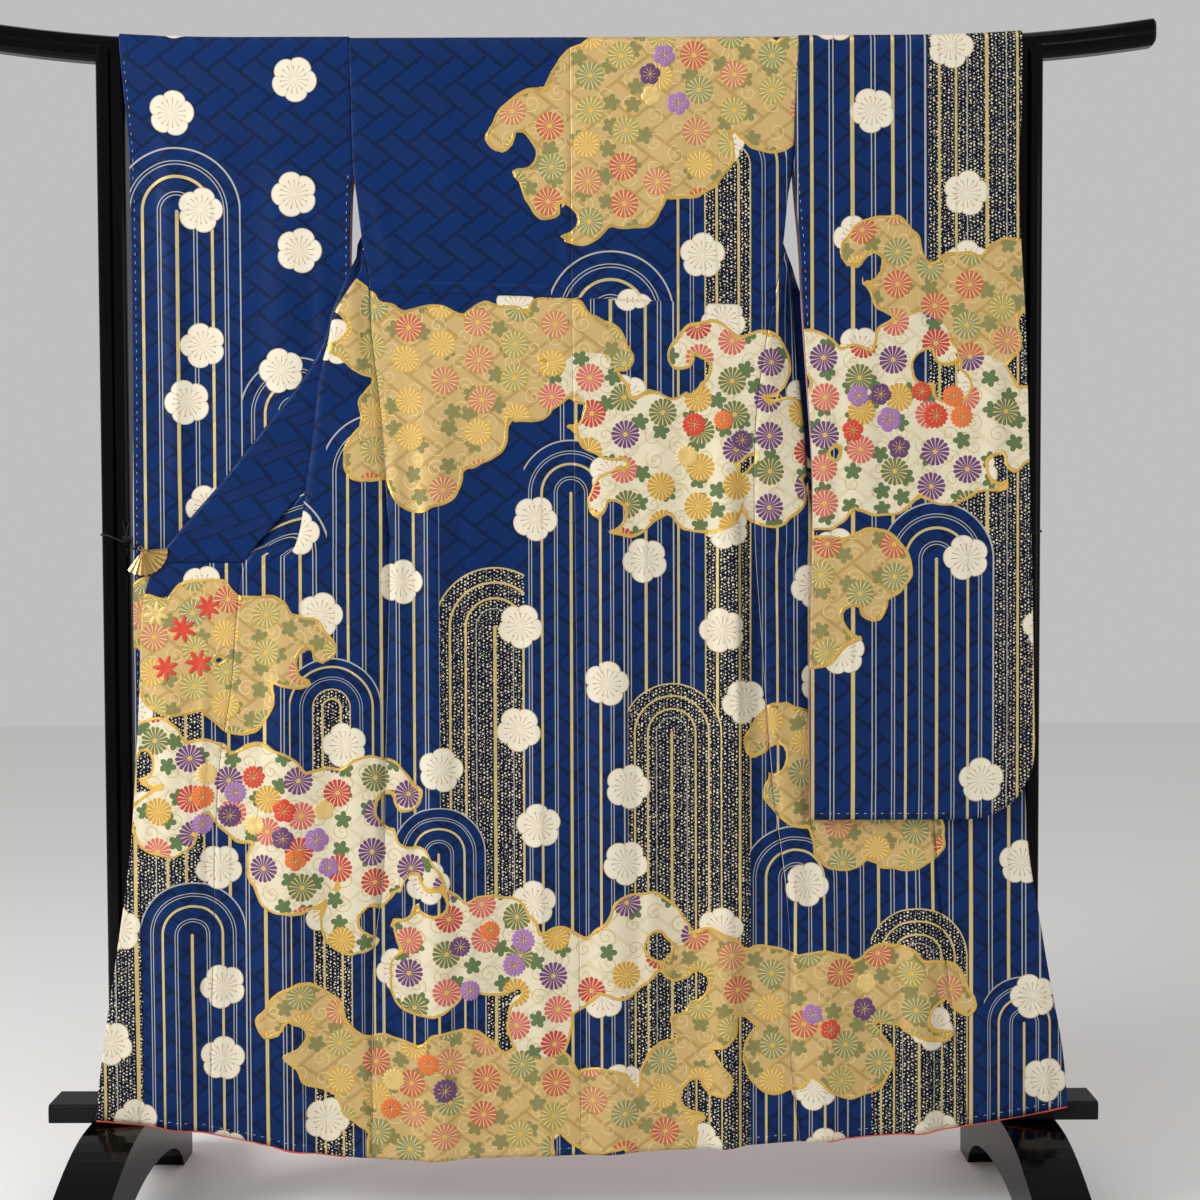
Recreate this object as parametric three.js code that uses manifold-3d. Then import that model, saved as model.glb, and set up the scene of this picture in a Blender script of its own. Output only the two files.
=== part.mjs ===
// A long-sleeved furisode kimono, hung by its sleeves over the top rail of a lacquered iko stand, with both
// front edges drawn out sideways and held to the posts by fan-shaped clips on elastic loops.
// Millimetres, +Z up, the floor at Z = 0. The garment's back faces -Y, and +X is on the right from there.
import * as THREE from 'three';
import Module from 'manifold-3d';
import { mergeVertices } from 'three/addons/utils/BufferGeometryUtils.js';

const wasm = await Module();
wasm.setup();

// ---- Driving dimensions ----
const GAP = 0.3;                 // between pieces that touch or are sewn together
const CLOTH = 2;                 // lined silk, as a wall

const RAIL = { length: 1750, height: 40, depth: 40, top: 1778, straight: 480, rise: 28, bend: 2.2 };
const POST = { centre: 685, width: 43, depth: 44, corner: 9, groove: 3, lap: 20 };
const BOARD = { length: 1588, depth: 76, height: 29, corner: 6 };
const FOOT = { centre: 688, width: 84, length: 548, crown: 149, shoulder: 106, arch: 70, pad: 62 };

const HEM = 100;                 // height of the hem at the centre back
const LEAN = 18.5;               // how far the cloth leans out from the rail down to the hem
const HANG_Y = -25.5;            // the back's plane just under the rail
const FAR_Y = 25;                // the fronts' plane just under the rail, on the far side
const HANG_Z = 1755;             // where the cloth leaves the rail and hangs free
const FRONT_WIDTH = 226;         // a front half between its side seam and the okumi seam
const COLLAR_WIDTH = 110;        // the wide collar opened out
const COLLAR_END = 998;          // where the collar ends and the okumi's own edge begins
const ARMHOLE = 1588;            // the lower end of the sleeve's seam to the body
const SIDE_TOP = 1430;           // the top of the side seam
const STRAND = 5;                // between layers of a folded front
const SLEEVE_HOLLOW = 12;        // between the two walls of a sleeve, centre to centre
const SLEEVE_BOTTOM = 611;
const SLEEVE_CORNER = 120;       // height of the rounded outer corner
const WRIST = 1550;              // the lower end of the wrist opening
const TUCK = { z: 1391, slope: -0.041, height: 14, lift: 2 };

const CLIP = { reach: 38, inner: 9, leaf: 2, ribs: 9, scallop: 1.6, from: -128, to: 4, pin: 3.4 };
const LOOP_RADIUS = 1.15;        // the elastic cord of each clip

const SILK = { color: 0x12366f, roughness: 0.55, metalness: 0 };
const LACQUER = { color: 0x0b0b0c, roughness: 0.12, metalness: 0 };
const GOLD = { color: 0xc39a4a, roughness: 0.3, metalness: 1 };
const ELASTIC = { color: 0x111111, roughness: 0.8, metalness: 0 };

// ---- The garment's outlines, one table for each side: distance from the centre line at each height ----
// side: the body's side edge; sleeveIn, sleeveOut: a sleeve's two edges.
const EDGES = {
  left: {
    side: [[1785, 328], [1687, 325], [1588, 323], [1539, 317], [1472, 309], [1428, 301], [1340, 297],
      [1225, 284], [1092, 275], [1023, 271], [678, 280], [524, 285], [407, 299], [300, 302], [100, 304]],
    sleeveIn: [[1785, 328], [1687, 325], [1588, 323], [1540, 326], [1430, 328], [1300, 330], [1100, 334],
      [600, 336]],
    sleeveOut: [[1810, 671], [1731, 666], [1690, 662], [1646, 658], [1600, 655], [1245, 654], [1065, 656],
      [600, 658]],
  },
  right: {
    side: [[1785, 342], [1687, 337], [1588, 333], [1539, 325], [1479, 319], [1428, 312], [1325, 292],
      [1211, 277], [1050, 275], [908, 283], [647, 303], [541, 317], [437, 326], [245, 328], [100, 342]],
    sleeveIn: [[1785, 342], [1687, 337], [1588, 333], [1459, 342], [1382, 345], [1252, 353], [1124, 360],
      [997, 359],
      [789, 355], [600, 356]],
    sleeveOut: [[1810, 674], [1668, 672], [1575, 667], [1482, 670], [1332, 678], [1184, 682], [995, 687],
      [731, 692]],
  },
};
// Each opened front is one width of cloth that turns twice: from the side seam out to a fold, back to a
// hidden
// turn behind the body, and out again to its seam and free edge. fold, seam and free at each height:
const FRONTS = {
  left: [
    { z: 1790, fold: 322, seam: 105, free: 105 }, { z: 1740, fold: 320, seam: 108, free: 122 },
    { z: 1700, fold: 319, seam: 118, free: 200 }, { z: 1650, fold: 318, seam: 131, free: 240 },
    { z: 1560, fold: 313, seam: 157, free: 268 }, { z: 1480, fold: 303, seam: 180, free: 317 },
    { z: 1452, fold: 312, seam: 189, free: 321 }, { z: 1425, fold: 316, seam: 198, free: 333 },
    { z: 1371, fold: 350, seam: 213, free: 356 }, { z: 1326, fold: 360, seam: 230, free: 369 },
    { z: 1271, fold: 375, seam: 262, free: 400 }, { z: 1198, fold: 383, seam: 316, free: 458 },
    { z: 1115, fold: 395, seam: 390, free: 525 }, { z: 1051, fold: 403, seam: 446, free: 580 },
    { z: COLLAR_END, fold: 420, seam: 488, free: 621 }, { z: 930, fold: 440, seam: 499, free: 641 },
    { z: 816, fold: 440, seam: 509, free: 646 }, { z: 700, fold: 450, seam: 527, free: 653 },
    { z: 564, fold: 455, seam: 536, free: 663 }, { z: 435, fold: 460, seam: 538, free: 679 },
    { z: 317, fold: 460, seam: 543, free: 695 }, { z: 202, fold: 465, seam: 546, free: 710 },
    { z: HEM, fold: 465, seam: 548, free: 721 },
  ],
  right: [
    { z: 1790, fold: 336, seam: 105, free: 105 }, { z: 1740, fold: 334, seam: 108, free: 122 },
    { z: 1700, fold: 332, seam: 118, free: 200 }, { z: 1650, fold: 330, seam: 131, free: 240 },
    { z: 1560, fold: 322, seam: 157, free: 268 }, { z: 1480, fold: 313, seam: 180, free: 317 },
    { z: 1452, fold: 323, seam: 189, free: 327 }, { z: 1425, fold: 328, seam: 198, free: 338 },
    { z: 1371, fold: 334, seam: 213, free: 356 }, { z: 1326, fold: 338, seam: 230, free: 369 },
    { z: 1271, fold: 343, seam: 262, free: 400 }, { z: 1198, fold: 350, seam: 316, free: 458 },
    { z: 1115, fold: 356, seam: 390, free: 525 }, { z: 1051, fold: 370, seam: 446, free: 580 },
    { z: COLLAR_END, fold: 400, seam: 496, free: 621 }, { z: 930, fold: 430, seam: 512, free: 650 },
    { z: 816, fold: 450, seam: 526, free: 665 }, { z: 700, fold: 455, seam: 537, free: 679 },
    { z: 564, fold: 460, seam: 547, free: 687 }, { z: 435, fold: 465, seam: 557, free: 704 },
    { z: 317, fold: 470, seam: 569, free: 720 }, { z: 202, fold: 475, seam: 583, free: 737 },
    { z: HEM, fold: 480, seam: 595, free: 746 },
  ],
};
// Height of the hem across the whole spread garment.
const HEMLINE = [[-721, 157], [-636, 149], [-568, 141], [-527, 133], [-426, 113], [-334, 100], [-233, 95],
  [-125, 98], [11, 102], [118, 108], [194, 111], [340, 122], [440, 130], [536, 138], [667, 158], [746, 174]];
// The centre back seam hangs a little to the right.
const CENTRE = [[1785, 1], [1388, 3], [940, 7], [338, 11], [100, 11]];

// The largest hanging folds: where each runs, how far it stands out, its half width, and the heights it
// spans.
const BACK_FOLDS = [
  { x: -205, out: 7, half: 46, top: 1330, bottom: 40 }, { x: -95, out: -5, half: 44, top: 1180, bottom: 320 },
  { x: 62, out: 6, half: 50, top: 1250, bottom: 40 }, { x: 168, out: -6, half: 40, top: 1330, bottom: 320 },
  { x: 232, out: 9, half: 32, top: 1300, bottom: 60 }, { x: 268, out: -8, half: 24, top: 1120, bottom: 560 },
];
const FRONT_FOLDS = [
  { x: -352, out: -4, half: 34, top: 960, bottom: 320 }, { x: -425, out: 8, half: 40, top: 980, bottom: 40 },
  { x: -505, out: -4, half: 36, top: 900, bottom: 320 }, { x: -600, out: 6, half: 44, top: 930, bottom: 40 },
  { x: 380, out: 7, half: 40, top: 640, bottom: 40 }, { x: 450, out: -3, half: 38, top: 640, bottom: 320 },
  { x: 524, out: 7, half: 36, top: 620, bottom: 40 }, { x: 655, out: -3, half: 42, top: 560, bottom: 320 },
];

// Heights of the rows of points down a panel, below the rail.
const ROWS = [1740, 1700, 1675, 1650, 1605, 1560, 1480, 1452, 1425, 1398, 1371, 1340, 1300, 1250, 1224,
  1198, 1155,
  1115, 1080, 1045, 1016, COLLAR_END, 960, 880, 760, 640, 520, 400, 280, 180, HEM];

// ---- Small maths ----
const smooth = (from, to, x) => {
  const t = Math.min(1, Math.max(0, (x - from) / (to - from)));
  return t * t * (3 - 2 * t);
};
const mix = (a, b, t) => a + (b - a) * t;

// A smooth curve through a table of [key, value] rows, in either order of keys.
function along(rows, key) {
  const n = rows.length - 1;
  const up = rows[n][0] > rows[0][0];
  let i = 0;
  while (i < n - 1 && (up ? key > rows[i + 1][0] : key < rows[i + 1][0])) i++;
  const [k0, v0] = rows[i];
  const [k1, v1] = rows[i + 1];
  const t = Math.min(1, Math.max(0, (key - k0) / (k1 - k0)));
  const slope = (j) => {
    const a = rows[Math.max(0, j - 1)];
    const b = rows[Math.min(n, j + 1)];
    return (b[1] - a[1]) / (b[0] - a[0]) * (k1 - k0);
  };
  const t2 = t * t;
  const t3 = t2 * t;
  return (2 * t3 - 3 * t2 + 1) * v0 + (t3 - 2 * t2 + t) * slope(i)
    + (3 * t2 - 2 * t3) * v1 + (t3 - t2) * slope(i + 1);
}
const column = (side, name) => FRONTS[side].map((row) => [row.z, row[name]]);
const COLUMNS = {};
for (const side of ['left', 'right']) {
  COLUMNS[side] = { fold: column(side, 'fold'), seam: column(side, 'seam'), free: column(side, 'free') };
}

const spread = (count, from = 0, to = 1) => Array.from({ length: count }, (_, i) => mix(from, to,
  i / (count - 1)));

// ---- Building solids ----
function solid(positions, triangles) {
  const geometry = new THREE.BufferGeometry();
  geometry.setAttribute('position', new THREE.Float32BufferAttribute(positions, 3));
  geometry.setIndex(triangles);
  let volume = 0;
  const [a, b, c] = [0, 1, 2].map(() => new THREE.Vector3());
  const at = geometry.attributes.position;
  for (let i = 0; i < triangles.length; i += 3) {
    a.fromBufferAttribute(at, triangles[i]);
    b.fromBufferAttribute(at, triangles[i + 1]);
    c.fromBufferAttribute(at, triangles[i + 2]);
    volume += a.dot(b.cross(c));
  }
  if (volume < 0) {
    for (let i = 0; i < triangles.length; i += 3) {
      [triangles[i], triangles[i + 1]] = [triangles[i + 1], triangles[i]];
    }
    geometry.setIndex(triangles);
  }
  geometry.computeVertexNormals();
  return geometry;
}

// A wall of cloth: a grid of points down the middle of the cloth, given half a thickness to each side.
function wall(grid, thickness = CLOTH) {
  const rows = grid.length;
  const cols = grid[0].length;
  const down = new THREE.Vector3();
  const across = new THREE.Vector3();
  const positions = [];
  for (const sign of [1, -1]) {
    for (let r = 0; r < rows; r++) {
      for (let c = 0; c < cols; c++) {
        down.subVectors(grid[Math.min(rows - 1, r + 1)][c], grid[Math.max(0, r - 1)][c]);
        across.subVectors(grid[r][Math.min(cols - 1, c + 1)], grid[r][Math.max(0, c - 1)]);
        const normal = down.cross(across).normalize();
        const p = grid[r][c].clone().addScaledVector(normal, sign * thickness / 2);
        positions.push(p.x, p.y, p.z);
      }
    }
  }
  const count = rows * cols;
  const id = (r, c, back) => r * cols + c + (back ? count : 0);
  const triangles = [];
  const quad = (p, q, s, t) => triangles.push(p, q, s, p, s, t);
  for (let r = 0; r < rows - 1; r++) {
    for (let c = 0; c < cols - 1; c++) {
      quad(id(r, c), id(r, c + 1), id(r + 1, c + 1), id(r + 1, c));
      quad(id(r, c, true), id(r + 1, c, true), id(r + 1, c + 1, true), id(r, c + 1, true));
    }
  }
  for (let c = 0; c < cols - 1; c++) {
    quad(id(0, c), id(0, c, true), id(0, c + 1, true), id(0, c + 1));
    quad(id(rows - 1, c), id(rows - 1, c + 1), id(rows - 1, c + 1, true), id(rows - 1, c, true));
  }
  for (let r = 0; r < rows - 1; r++) {
    quad(id(r, 0), id(r + 1, 0), id(r + 1, 0, true), id(r, 0, true));
    quad(id(r, cols - 1), id(r, cols - 1, true), id(r + 1, cols - 1, true), id(r + 1, cols - 1));
  }
  return solid(positions, triangles);
}

// A bar through closed rings of equal count, capped at both ends by a fan from each ring's middle.
function bar(rings) {
  const n = rings[0].length;
  const positions = [];
  for (const ring of rings) for (const p of ring) positions.push(p.x, p.y, p.z);
  const triangles = [];
  for (let r = 0; r < rings.length - 1; r++) {
    for (let i = 0; i < n; i++) {
      const j = (i + 1) % n;
      triangles.push(r * n + i, r * n + j, (r + 1) * n + j, r * n + i, (r + 1) * n + j, (r + 1) * n + i);
    }
  }
  for (const end of [0, rings.length - 1]) {
    const middle = new THREE.Vector3();
    for (const p of rings[end]) middle.addScaledVector(p, 1 / n);
    const hub = positions.length / 3;
    positions.push(middle.x, middle.y, middle.z);
    for (let i = 0; i < n; i++) {
      const [a, b] = [end * n + i, end * n + (i + 1) % n];
      triangles.push(...(end === 0 ? [hub, b, a] : [hub, a, b]));
    }
  }
  return solid(positions, triangles);
}

function toManifold(geometry) {
  const bare = geometry.index ? geometry.clone() : geometry;
  bare.deleteAttribute('normal');
  bare.deleteAttribute('uv');
  const merged = mergeVertices(bare, 1e-4);
  return new wasm.Manifold(new wasm.Mesh({
    numProp: 3,
    vertProperties: new Float32Array(merged.attributes.position.array),
    triVerts: new Uint32Array(merged.index.array),
  }));
}
function fromManifold(manifold) {
  const { vertProperties, triVerts } = manifold.getMesh();
  return solid(Array.from(vertProperties), Array.from(triVerts));
}

// The part of a solid that stands clear of the others; crumbs left by the cut are dropped.
function clearOf(geometry, others) {
  let body = toManifold(geometry);
  for (const other of others) body = body.subtract(toManifold(other));
  const pieces = body.decompose().sort((p, q) => q.volume() - p.volume());
  return fromManifold(pieces[0]);
}

const object = new THREE.Group();
function add(name, geometry, finish) {
  const mesh = new THREE.Mesh(geometry, new THREE.MeshStandardMaterial(finish));
  mesh.name = name;
  object.add(mesh);
}

// ---- The stand ----
const railRise = (x) => RAIL.rise * Math.max(0,
  (Math.abs(x) - RAIL.straight) / (RAIL.length / 2 - RAIL.straight))
  ** RAIL.bend;

// The rail's section: two rounded mouldings, one over the other, with a groove between them on each face.
function railRing(x, shrink) {
  const ring = [];
  const halfHeight = RAIL.height / 2 - shrink;
  const halfDepth = RAIL.depth / 2 - shrink;
  const middle = RAIL.top - RAIL.height / 2 + railRise(x);
  const outline = [[1, 0.14], [0.93, 0.6], [0.8, 0.86], [0.5, 1], [-0.5, 1], [-0.8, 0.86], [-0.93, 0.6],
    [-1, 0.14],
    [-0.94, 0], [-1, -0.14], [-0.93, -0.6], [-0.8, -0.86], [-0.5, -1], [0.5, -1], [0.8, -0.86], [0.93, -0.6],
    [1, -0.14], [0.94, 0]];
  for (const [across, up] of outline) {
    ring.push(new THREE.Vector3(x, across * halfDepth, middle + up * halfHeight));
  }
  return ring;
}
const half = RAIL.length / 2;
const railStations = [-half, -half + 4, ...spread(8, -half + 30, -RAIL.straight), 0,
  ...spread(8, RAIL.straight, half - 30), half - 4, half];
const rail = bar(railStations.map((x) => railRing(x, Math.abs(x) === half ? 4 : 0)));
add('rail', rail, LACQUER);

// A rounded rectangle with a shallow groove down the middle of its two broad faces.
function postSection() {
  const [w, d, r, g] = [POST.width / 2, POST.depth / 2, POST.corner, POST.groove];
  const shape = new THREE.Shape();
  for (const s of [1, -1]) {
    const put = s === 1 ? 'moveTo' : 'lineTo';
    shape[put](s * w, -s * (d - r));
    shape.lineTo(s * w, s * (d - r));
    shape.quadraticCurveTo(s * w, s * d, s * (w - r), s * d);
    shape.lineTo(s * g, s * d);
    shape.lineTo(0, s * (d - g));
    shape.lineTo(-s * g, s * d);
    shape.lineTo(-s * (w - r), s * d);
    shape.quadraticCurveTo(-s * w, s * d, -s * w, s * (d - r));
  }
  return shape;
}
const BOARD_TOP = FOOT.crown + GAP + BOARD.height;
const postBottom = BOARD_TOP + GAP;
for (const [side, sign] of [['left', -1], ['right', 1]]) {
  const x = sign * POST.centre;
  const top = RAIL.top - RAIL.height + railRise(x) + POST.lap;
  const post = new THREE.ExtrudeGeometry(postSection(), {
    depth: top - postBottom, bevelEnabled: false, curveSegments: 4,
  });
  post.translate(x, 0, postBottom);
  const cradle = bar(spread(5, x - POST.width, x + POST.width).map((at) => railRing(at, -GAP)));
  add(`post_${side}`, fromManifold(toManifold(post).subtract(toManifold(cradle))), LACQUER);
}

function roundedBox(length, depth, height, radius) {
  const shape = new THREE.Shape();
  const [w, h] = [depth / 2 - radius, height / 2 - radius];
  shape.absarc(w, h, radius, 0, Math.PI / 2);
  shape.absarc(-w, h, radius, Math.PI / 2, Math.PI);
  shape.absarc(-w, -h, radius, Math.PI, 1.5 * Math.PI);
  shape.absarc(w, -h, radius, 1.5 * Math.PI, 2 * Math.PI);
  const box = new THREE.ExtrudeGeometry(shape, { depth: length, bevelEnabled: false, curveSegments: 3 });
  box.translate(0, 0, -length / 2);
  return box.rotateX(Math.PI / 2).rotateZ(Math.PI / 2);
}
const board = roundedBox(BOARD.length, BOARD.depth, BOARD.height, BOARD.corner);
board.translate(0, 0, BOARD_TOP - BOARD.height / 2);
add('base_board', board, { color: 0x1d1d20, roughness: 0.45, metalness: 0 });

// A foot runs front to back: a level crown under the board, shoulders that curve down, and an arch below.
function footShape() {
  const end = FOOT.length / 2;
  const shape = new THREE.Shape();
  shape.moveTo(-end, 0);
  shape.lineTo(-end, 40);
  shape.bezierCurveTo(-end, 78, -end + 12, FOOT.shoulder - 8, -end + 34, FOOT.shoulder);
  shape.bezierCurveTo(-end + 100, FOOT.crown - 16, -end + 150, FOOT.crown, -end + 214, FOOT.crown);
  shape.lineTo(end - 214, FOOT.crown);
  shape.bezierCurveTo(end - 150, FOOT.crown, end - 100, FOOT.crown - 16, end - 34, FOOT.shoulder);
  shape.bezierCurveTo(end - 12, FOOT.shoulder - 8, end, 78, end, 40);
  shape.lineTo(end, 0);
  shape.lineTo(end - FOOT.pad, 0);
  shape.bezierCurveTo(end - FOOT.pad - 20, FOOT.arch * 0.7, 100, FOOT.arch, 0, FOOT.arch);
  shape.bezierCurveTo(-100, FOOT.arch, -end + FOOT.pad + 20, FOOT.arch * 0.7, -end + FOOT.pad, 0);
  shape.lineTo(-end, 0);
  return shape;
}
for (const [side, sign] of [['left', -1], ['right', 1]]) {
  const foot = new THREE.ExtrudeGeometry(footShape(), { depth: FOOT.width, bevelEnabled: false,
    curveSegments: 7 });
  foot.translate(0, 0, -FOOT.width / 2);
  foot.rotateX(Math.PI / 2).rotateZ(Math.PI / 2);
  foot.translate(sign * FOOT.centre, 0, 0);
  add(`foot_${side}`, foot, LACQUER);
}

// ---- Where the layers hang ----
const backY = (z) => HANG_Y - LEAN * (HANG_Z - z) / (HANG_Z - HEM);
// A sleeve's wall on the viewer's side, and its wall that comes down behind the rail.
const SLEEVE_NEAR = {
  left: [[1755, -25.5], [1300, -26.5], [1000, -30], [600, -34.5]],
  right: [[1755, -25.5], [1450, -37], [1050, -45], [700, -50], [600, -50]],
};
const SLEEVE_FAR = {
  left: [[1755, 25], [1560, 4], [1300, -14.5], [1000, -18], [600, -22.5]],
  right: [[1755, 25], [1560, 3], [1300, -19], [1100, -31], [700, -38], [600, -38]],
};
const sleeveNear = (side, z) => along(SLEEVE_NEAR[side], z);
const sleeveFar = (side, z) => Math.max(along(SLEEVE_FAR[side], z), sleeveNear(side, z) + SLEEVE_HOLLOW);

function foldLift(folds, x, z) {
  let lift = 0;
  for (const fold of folds) {
    const across = Math.max(0, 1 - ((x - fold.x) / fold.half) ** 2);
    const down = smooth(fold.top, fold.top - 260, z) * smooth(fold.bottom - 60, fold.bottom + 60, z);
    lift += fold.out * across * across * down;
  }
  return lift;
}

// The hem's rise towards both sides is eased in over the lower part of the cloth.
const dropTo = (x, z) => z + (along(HEMLINE, x) - HEM) * smooth(620, HEM, z);

// Path of the cloth over the rail: from the far side of its top to the near face.
const OVER = [[14, 1779.5], [0, 1779.5], [-12, 1779.3], [-20, 1776], [-24, 1769], [HANG_Y, HANG_Z]];

// ---- The two back halves ----
function backHalf(side, sign) {
  const grid = [];
  const edge = (z) => sign * (along(EDGES[side].side, z) - GAP / 2);
  const seam = (z) => along(CENTRE, z) + sign * GAP / 2;
  const put = (z, y, t) => {
    const x = mix(seam(z), edge(z), t);
    const out = y - foldLift(BACK_FOLDS, x, z);
    return new THREE.Vector3(x, out, dropTo(x, z));
  };
  const across = spread(8);
  for (const [y, z] of OVER) grid.push(across.map((t) => put(z, y, t)));
  const tuckTop = TUCK.z + TUCK.height;
  const heights = ROWS.filter((z) => z < tuckTop - 30 || z > tuckTop + 10);
  heights.push(tuckTop, TUCK.z + 1, TUCK.z - 1);
  heights.sort((a, b) => b - a);
  for (const z of heights) {
    const lifted = z <= tuckTop && z > TUCK.z ? TUCK.lift : 0;
    const slope = Math.abs(z - TUCK.z) <= TUCK.height ? TUCK.slope : 0;
    grid.push(across.map((t) => {
      const level = z + slope * mix(seam(z), edge(z), t);
      return put(level, backY(level) - lifted, t);
    }));
  }
  return grid;
}
const backs = { left: backHalf('left', -1), right: backHalf('right', 1) };
for (const side of ['left', 'right']) add(`back_${side}`, wall(backs[side]), SILK);

// ---- The opened fronts ----
// How far a level above the armhole belongs to the far side of the rail: 0 below the side seam's top, 1
// above.
const farShare = (z) => smooth(SIDE_TOP, ARMHOLE - 20, z);
// The layers pass from behind the body to their own depth between these two distances from the centre.
function crossing(side, z) {
  const body = along(EDGES[side].side, z);
  const mouth = along(EDGES[side].sleeveIn, z);
  const from = body + mix(6, 14, smooth(1400, 1440, z));
  return [from, side === 'left' ? from + 16 : Math.max(from + 16, mouth - 4)];
}
const clamp = (low, high, x) => Math.min(high, Math.max(low, x));

// Depth of a front's layer at height z. Layer 0 runs from the side seam to the outer fold, 1 back to the
// hidden
// turn, and 2 out again to the free edge.
function layerY(side, layer, x, z) {
  const hang = backY(z);
  const [from, to] = crossing(side, z);
  const outside = clamp(0, 1, (x - from) / (to - from));
  const behind = hang + layer * STRAND + Math.min(layer, 1) * STRAND * smooth(SIDE_TOP - 5, SIDE_TOP + 25, z);
  const before = side === 'left' ? hang - 9 : sleeveFar('right', z) + STRAND;
  const low = mix(behind, before + 4 * layer, outside);
  const high = mix(3 + STRAND * layer, FAR_Y + (layer === 2 ? STRAND : 0), smooth(1480, 1700, z));
  return mix(low, high, farShare(z) * (layer === 2 && side === 'left' ? 1 - outside : 1));
}

// The plan of one row: x and y of each point, from the side seam to the okumi or collar seam.
const LIP = 3;                   // half the thickness of a turn
function frontRow(side, z) {
  const edge = along(EDGES[side].side, z) + GAP * mix(1, -1, farShare(z));
  const fold = Math.max(edge - 2 * LIP, along(COLUMNS[side].fold, z));
  const seam = along(COLUMNS[side].seam, z) - GAP / 2;
  const flat = mix(2 * fold - seam - edge, seam - edge, smooth(1500, 1400, z));
  const width = mix(FRONT_WIDTH, flat, Math.max(smooth(1640, 1700, z), smooth(1000, 940, z)));
  const back = Math.max(0, (width - (seam - edge)) / 2);       // how far the cloth doubles back
  const doubled = smooth(2, 16, back);
  const outward = smooth(0, 9, fold - edge) * doubled;
  const hidden = mix(mix(fold, seam, 0.35), fold - back, smooth(0, 14, back));
  const returned = smooth(2, 14, seam - hidden) * doubled;
  const turn = hidden + 3 * LIP * (1 - returned) * farShare(z);
  const level = hangLevel(side, z);
  const sideY = mix(backY(z) + STRAND * smooth(SIDE_TOP, SIDE_TOP + 25, z),
    mix(3, FAR_Y, smooth(1480, 1700, z)), farShare(z));
  const at = (x, layer) => mix(level(x), layerY(side, layer, x, z), doubled);
  // Near the side seam a single layer eases in from the seam's own depth.
  const eased = (x, y) => mix(sideY, y, smooth(4, 28, Math.abs(x - edge)));
  const inner = (x) => mix(eased(x, at(x, 1)), at(x, 1), outward);
  const outer = (x) => mix(eased(x, at(x, 1)), mix(level(x), layerY(side, 0, x, z), doubled), outward);
  const [from, to] = crossing(side, z);
  const stands = (even, place, low, high) => mix(even, clamp(low, high, place), doubled * (1 - farShare(z)));
  const before = mix(fold - LIP, fold + mix(LIP, -LIP, outward), doubled);
  const after = fold + mix(LIP, -LIP, doubled);
  const points = [[edge, sideY]];
  const first = stands(mix(edge, before, 0.33), from, Math.min(edge, before) + 1, Math.max(edge, before) - 2);
  const second = stands(mix(edge, before, 0.66), to, Math.min(edge, before) + 2, Math.max(edge, before) - 1);
  for (const x of [first, second, before]) points.push([x, outer(x)]);
  points.push([fold, mix(inner(fold), mix(outer(fold), inner(fold), 0.5), outward)]);
  points.push([after, inner(after)]);
  const ahead = turn + mix(-LIP, LIP, doubled);
  const past = mix(turn + LIP, turn + mix(-LIP, LIP, returned), doubled);
  for (const [t, place] of [[0.33, to], [0.66, from]]) {
    const x = stands(mix(after, ahead, t), place, Math.min(after, ahead) + 3 - 2 * t, after - 1 - t);
    points.push([x, inner(x)]);
  }
  points.push([ahead, inner(ahead)]);
  points.push([turn, mix(inner(turn), at(turn, 2), 0.5 * returned)]);
  points.push([past, mix(inner(past), at(past, 2), returned)]);
  for (const t of [0.5, 1]) {
    const x = mix(past, seam, t);
    points.push([x, mix(inner(x), at(x, 2), returned)]);
  }
  return points;
}

// Where a front hangs in a single layer: in front of the left sleeve, but under the right one.
function hangLevel(side, z) {
  return (x) => {
    const body = along(EDGES[side].side, z);
    const outside = smooth(body, body + 40, x);
    const beneath = along([[1755, -20], [1100, -25], [850, -28.5], [600, -32], [400, -38], [200, -43],
      [100, -45]], z);
    const own = side === 'left' ? backY(z) - 6 * smooth(160, 500, z) : beneath;
    return mix(backY(z), own, outside);
  };
}

const FAR_OVER = [[14.5, 1779.5], [18, 1779], [22.6, 1775], [24.6, 1767], [FAR_Y, HANG_Z]];
function frontHalf(side, sign) {
  const grid = [];
  for (const [y, z] of FAR_OVER) {
    const row = frontRow(side, z);
    grid.push(row.map(([x]) => new THREE.Vector3(sign * x, y, z)));
  }
  for (const z of ROWS) {
    grid.push(frontRow(side, z).map(([x, y]) => {
      const px = sign * x;
      return new THREE.Vector3(px, y - foldLift(FRONT_FOLDS, px, z), dropTo(px, z));
    }));
  }
  return grid;
}
const fronts = { left: frontHalf('left', -1), right: frontHalf('right', 1) };

// ---- Okumi: from the end of the collar to the hem, between the front's seam and the free edge ----
function okumi(side, sign) {
  const rows = [COLLAR_END - GAP, ...ROWS.filter((z) => z < COLLAR_END - 20)];
  const grid = rows.map((z) => spread(5).map((t) => {
    const x = mix(along(COLUMNS[side].seam, z) + GAP / 2, along(COLUMNS[side].free, z), t);
    const y = hangLevel(side, z)(x) - foldLift(FRONT_FOLDS, sign * x, z);
    return new THREE.Vector3(sign * x, y, dropTo(sign * x, z));
  }));
  return wall(grid);
}
add('okumi_left', okumi('left', -1), SILK);
add('okumi_right', okumi('right', 1), SILK);

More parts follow.
